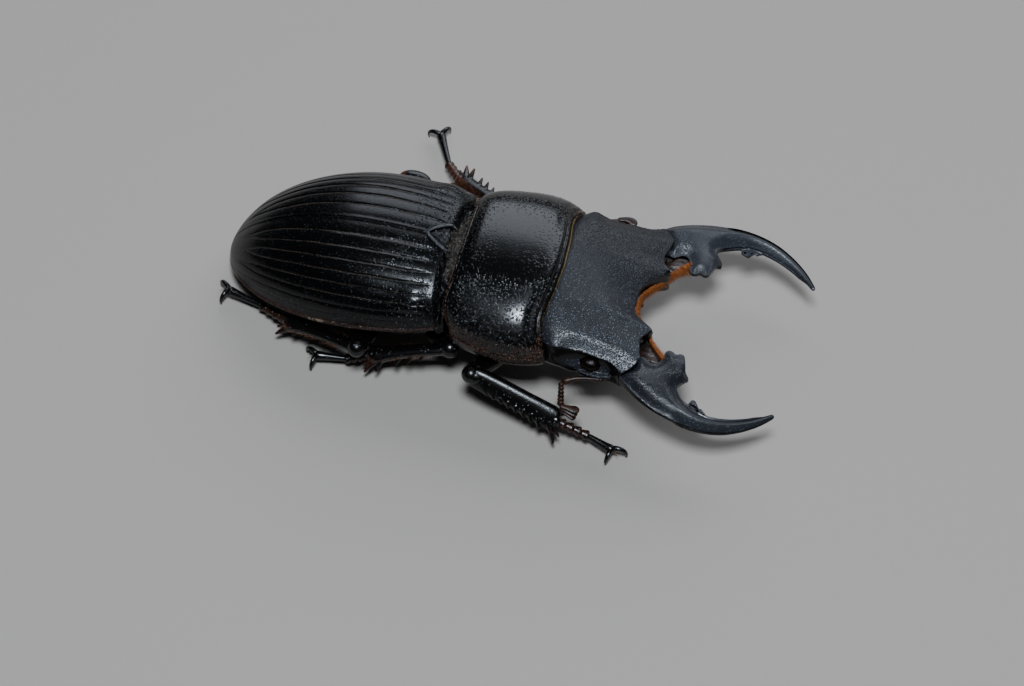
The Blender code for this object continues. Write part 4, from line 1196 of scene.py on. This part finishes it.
def bristles(name, rows, paint):
    """Many bristles as one piece: a root, a direction, a length, a radius, a sag and a tone each."""
    shape, shape_faces = BRISTLE
    points, faces, tones = [], [], []
    for root, way, length, radius, sag, tone in rows:
        way = Vector(way).normalized()
        side = way.orthogonal().normalized()
        other = way.cross(side)
        base = len(points) * len(shape)
        frame_of = np.array([side * radius, other * radius, way * length])
        placed = shape @ frame_of + np.array(root)
        placed[:, 2] -= sag * length * shape[:, 2] ** 2
        points.append(placed)
        faces += [[base + i for i in face] for face in shape_faces]
        tones.append(np.full(len(shape), tone))
    mesh = bpy.data.meshes.new(name)
    mesh.from_pydata(np.concatenate(points).tolist(), [], faces)
    item = put_in(name, mesh)
    note(item, tone=np.concatenate(tones))
    return put_away(item, paint, "hair_orange")


FRINGE_LINE = [(41.4, 5.35), (41.0, 5.0), (40.5, 4.5), (39.95, 3.85), (39.55, 3.2), (38.95, 2.45),
               (38.35, 1.75), (37.93, 1.0), (37.77, 0.0)]
FRINGE_HAIRS = 7000
FRONT_HAIRS = 900
MARGIN_HAIRS = 1500
FORE_SHIN_HAIRS = 60
SHIN_HAIRS = 190
JOINT_HAIRS = 26


def fringe_path(count):
    half = [Vector((x, y, 0)) for x, y in FRINGE_LINE]
    whole = half + [Vector((point.x, -point.y, 0)) for point in half[-2::-1]]
    line = path(whole, count)
    for point in line:
        point.z = 6.35 + 0.25 * float(step(2.5, 4.5, abs(point.y)))
    return line


def fringe():
    """Dense orange hair on a soft band, along the notch and out to the inner base of each jaw."""
    draw = random.Random(11)
    line = fringe_path(181)
    band = tube("band", [(point, 0.05, 0.30 + 0.1 * float(step(3.5, 5.0, abs(point.y))))
                         for point in line], 14)
    note(band, tone=0.35)
    put_away(band, "orange", "hair_orange", "labral_fringe")
    rows = []
    for _ in range(FRINGE_HAIRS):
        k = draw.randrange(2, len(line) - 2)
        tuft = float(step(3.2, 5.2, abs(line[k].y)))
        along = (line[k + 1] - line[k - 1]).normalized()
        outward = along.cross(UP)
        if outward.x < 0:
            outward = -outward
        root = line[k] + outward * draw.uniform(-0.04, 0.04) + UP * draw.uniform(-0.38 - 0.1 * tuft, 0.40)
        drift = along * draw.uniform(0.2, 1.0) * (-1 if line[k].y < 0 else 1)
        way = outward * 0.8 - drift * (1 if draw.random() < 0.7 else -1) + UP * draw.uniform(-0.8, 0.25)
        rows.append((root, way, draw.uniform(0.14, 0.55) * (1 + 0.6 * tuft), 0.016, 0.35, draw.random()))
    return bristles("labral_fringe_hairs", rows, "orange")


def shield_hairs():
    """Golden hair under the front margin of the pronotum, rust-brown bristles along its other margins."""
    draw = random.Random(5)
    gold, rust = [], []
    for i in range(FRONT_HAIRS):
        y = draw.gauss(1.6, 1.7) if i % 4 else draw.uniform(-5.5, 7.4)
        if abs(y) > 7.4:
            continue
        drop = 1.55 * abs(y / 7.4) ** 2.6
        root = Vector((float(shield_front(y)) + 0.02, y, 9.86 - drop - draw.uniform(0.0, 0.2)))
        way = Vector((1.0, draw.uniform(-1.2, 1.2), draw.uniform(-0.2, 0.4)))
        gold.append((root, way, draw.uniform(0.1, 0.2), 0.013, 0.2, draw.random()))
    for i in range(MARGIN_HAIRS):
        side = draw.choice((1, -1))
        share = draw.random()
        if i % 4 == 0:
            share = draw.choice((1, 0.02)) * draw.uniform(0.0, 0.06) if i % 8 else 1 - draw.uniform(0.0, 0.07)
        half = float(shield_half_width(share))
        inward = draw.uniform(0.0, 0.7) ** 1.4 if i % 4 else draw.uniform(0.0, 4.5)
        y = side * (half - inward)
        turn = math.acos(min(1.0, ((half - inward) / half) ** (1 / 0.9)))
        x, _, z = shield_surface(np.array([[share]]), np.array([[turn]]))[:3]
        root = Vector((float(x[0, 0]), y, float(z[0, 0]) - 0.01))
        way = Vector((draw.uniform(-1.0, -0.1), side * draw.uniform(0.2, 1.0), draw.uniform(0.1, 0.6)))
        rust.append((root, way, draw.uniform(0.07, 0.16), 0.015, 0.2, draw.random()))
    bristles("pronotum_front_hairs", gold, "gold")
    bristles("pronotum_edge_hairs", rust, "rusty")


def leg_hairs(name):
    draw = random.Random(len(name) * 7 + ord(name[0]) + ord(name[-2]))
    knee, ankle, along, outward = leg_frame(name)
    sole, end = Vector(LEGS[name][3]), Vector(LEGS[name][4])
    fore = name.startswith("fore")
    rows = []
    width = 0.85 if fore else 0.5
    for _ in range(FORE_SHIN_HAIRS if fore else SHIN_HAIRS):
        share = draw.uniform(0.12, 0.98)
        edge = draw.choice((1, -1)) if not fore else -1
        root = blend(knee, ankle, share) + outward * edge * width * (0.65 + 0.4 * share)
        root = root + UP * draw.uniform(-0.25, 0.25)
        way = outward * edge * 0.8 + along + UP * draw.uniform(-0.3, 0.4)
        length = draw.uniform(0.3, 0.55) if fore else draw.uniform(0.45, 0.95)
        rows.append((root, way, length, 0.024, 0.1, draw.random()))
    for k in range(FOOT_JOINTS):
        for _ in range(JOINT_HAIRS):
            share = (k + draw.uniform(0.5, 1.0)) / FOOT_JOINTS
            root = blend(ankle, sole, share) + outward * draw.uniform(-0.28, 0.28)
            root = root - UP * draw.uniform(0.0, 0.3)
            way = (sole - ankle).normalized() * 0.8 + outward * draw.uniform(-0.9, 0.9)
            way = way - UP * draw.uniform(0, 0.6)
            rows.append((root, way, draw.uniform(0.25, 0.45), 0.022, 0.1, draw.random()))
    tip = end - UP * 0.12
    for i in range(2):
        way = (end - sole).normalized() + outward * (0.35 - 0.7 * i) - UP * 0.25
        rows.append((tip, way, 0.75, 0.04, 0.2, 0.6))
    rows = [row for row in rows if row[0].z + Vector(row[1]).normalized().z * row[2] - row[4] * row[2] > 0.02]
    return bristles("tibia_%s_hairs" % name, rows, "rusty")


def joint_skin(side, word):
    turn = (0, 0, side * math.radians(40))
    item = ball("jaw_skin_" + word, (40.15, side * 4.95, 6.35), (1.4, 0.75, 0.42), 36, 22, turn)
    points = spots(item)
    ripple = 1 + 0.08 * np.sin(9 * points[:, 1] + 5 * points[:, 2])
    centre = points.mean(axis=0)
    move_to(item, centre + (points - centre) * ripple[:, None])
    return put_away(item, "membrane", "cuticle_brown")


# Floor, light and camera

FLOOR_COLOUR = rgb(0.358, 0.322, 0.289)
SKY_COLOUR = rgb(0.85, 0.92, 1.0)
# Place in metres, size in metres, power in watts and colour of each lamp
LAMPS = {
    "far softbox": ((0.05, 0.47, 0.33), (0.74, 0.38), 2.7, (0.84, 0.90, 1.0)),
    "key softbox": ((0.04, -0.145, 0.48), (0.11, 0.11), 2.9, (0.80, 0.89, 1.0)),
}


def aim(holder, place, back):
    holder.location = place
    holder.rotation_euler = (-back).to_track_quat("-Z", "Y").to_euler()


def studio():
    deselect()
    bpy.ops.mesh.primitive_plane_add(size=3.0)
    floor = bpy.context.object
    floor.name = "floor"
    pale = bpy.data.materials.new("pale floor")
    pale.use_nodes = True
    shader = pale.node_tree.nodes["Principled BSDF"]
    shader.inputs["Base Color"].default_value = FLOOR_COLOUR
    shader.inputs["Roughness"].default_value = 0.8
    floor.data.materials.append(pale)
    world = bpy.data.worlds.new("studio")
    bpy.context.scene.world = world
    world.use_nodes = True
    sky = world.node_tree.nodes["Background"]
    sky.inputs["Color"].default_value = SKY_COLOUR
    sky.inputs["Strength"].default_value = 0.03
    for name, (place, size, power, colour) in LAMPS.items():
        lamp = bpy.data.lights.new(name, "AREA")
        lamp.shape = "RECTANGLE"
        lamp.size, lamp.size_y = size
        lamp.energy = power
        lamp.color = colour
        aim(put_in(name, lamp), Vector(place), Vector(place))


AZIMUTH = math.radians(15.065)
ELEVATION = math.radians(56.0)
DISTANCE = 350.0
LOOK_AT = Vector((27.03, -2.625, 0.0))
SENSOR = 36.0
PIXELS_PER_MM = 11.143
PHOTO_WIDTH = 1024


def camera():
    """A long lens, looking down on the beetle's right side from ahead of its middle, as in the photo."""
    back = Vector((math.sin(AZIMUTH) * math.cos(ELEVATION), -math.cos(AZIMUTH) * math.cos(ELEVATION),
                   math.sin(ELEVATION)))
    lens = bpy.data.cameras.new("camera")
    lens.sensor_width = SENSOR
    lens.lens = SENSOR * PIXELS_PER_MM * DISTANCE / PHOTO_WIDTH
    lens.clip_start = 0.01
    holder = put_in("camera", lens)
    aim(holder, (LOOK_AT + SHIFT) * MM + back * DISTANCE * MM, back)
    bpy.context.scene.camera = holder


PAINTS = {
    "wing": wing_paint(),
    "shield": shield_paint(),
    "grain": grain_paint(),
    "leg": leg_paint(),
    "brown": brown_paint(),
    "eye": eye_paint(),
    "silt": silt_paint(),
    "membrane": membrane_paint(),
    "orange": hair_paint("orange bristles", rgb(0.075, 0.014, 0.002), rgb(0.52, 0.155, 0.020)),
    "gold": hair_paint("golden bristles", rgb(0.10, 0.055, 0.02), rgb(0.42, 0.28, 0.12)),
    "rusty": hair_paint("rust-brown bristles", rgb(0.035, 0.014, 0.007), rgb(0.17, 0.066, 0.028)),
}
BRISTLE = bristle_shape()

pronotum()
hind_body()
belly()
little_shield()
head()
chin()
for side, word in ((1, "left"), (-1, "right")):
    wing_case(side, word)
    jaw(side, word)
    eye(side, word)
    feeler(side, word)
    joint_skin(side, word)
    mouth_feeler("maxillary", (36.7, 1.9, 3.8), (37.8, 2.35, 3.0), side, word)
    mouth_feeler("labial", (36.9, 0.7, 3.9), (37.8, 0.85, 3.2), side, word)
for leg in LEGS:
    coxa(leg)
    femur(leg)
    tibia(leg)
    tarsus(leg)
    leg_hairs(leg)
fringe()
shield_hairs()
studio()
camera()
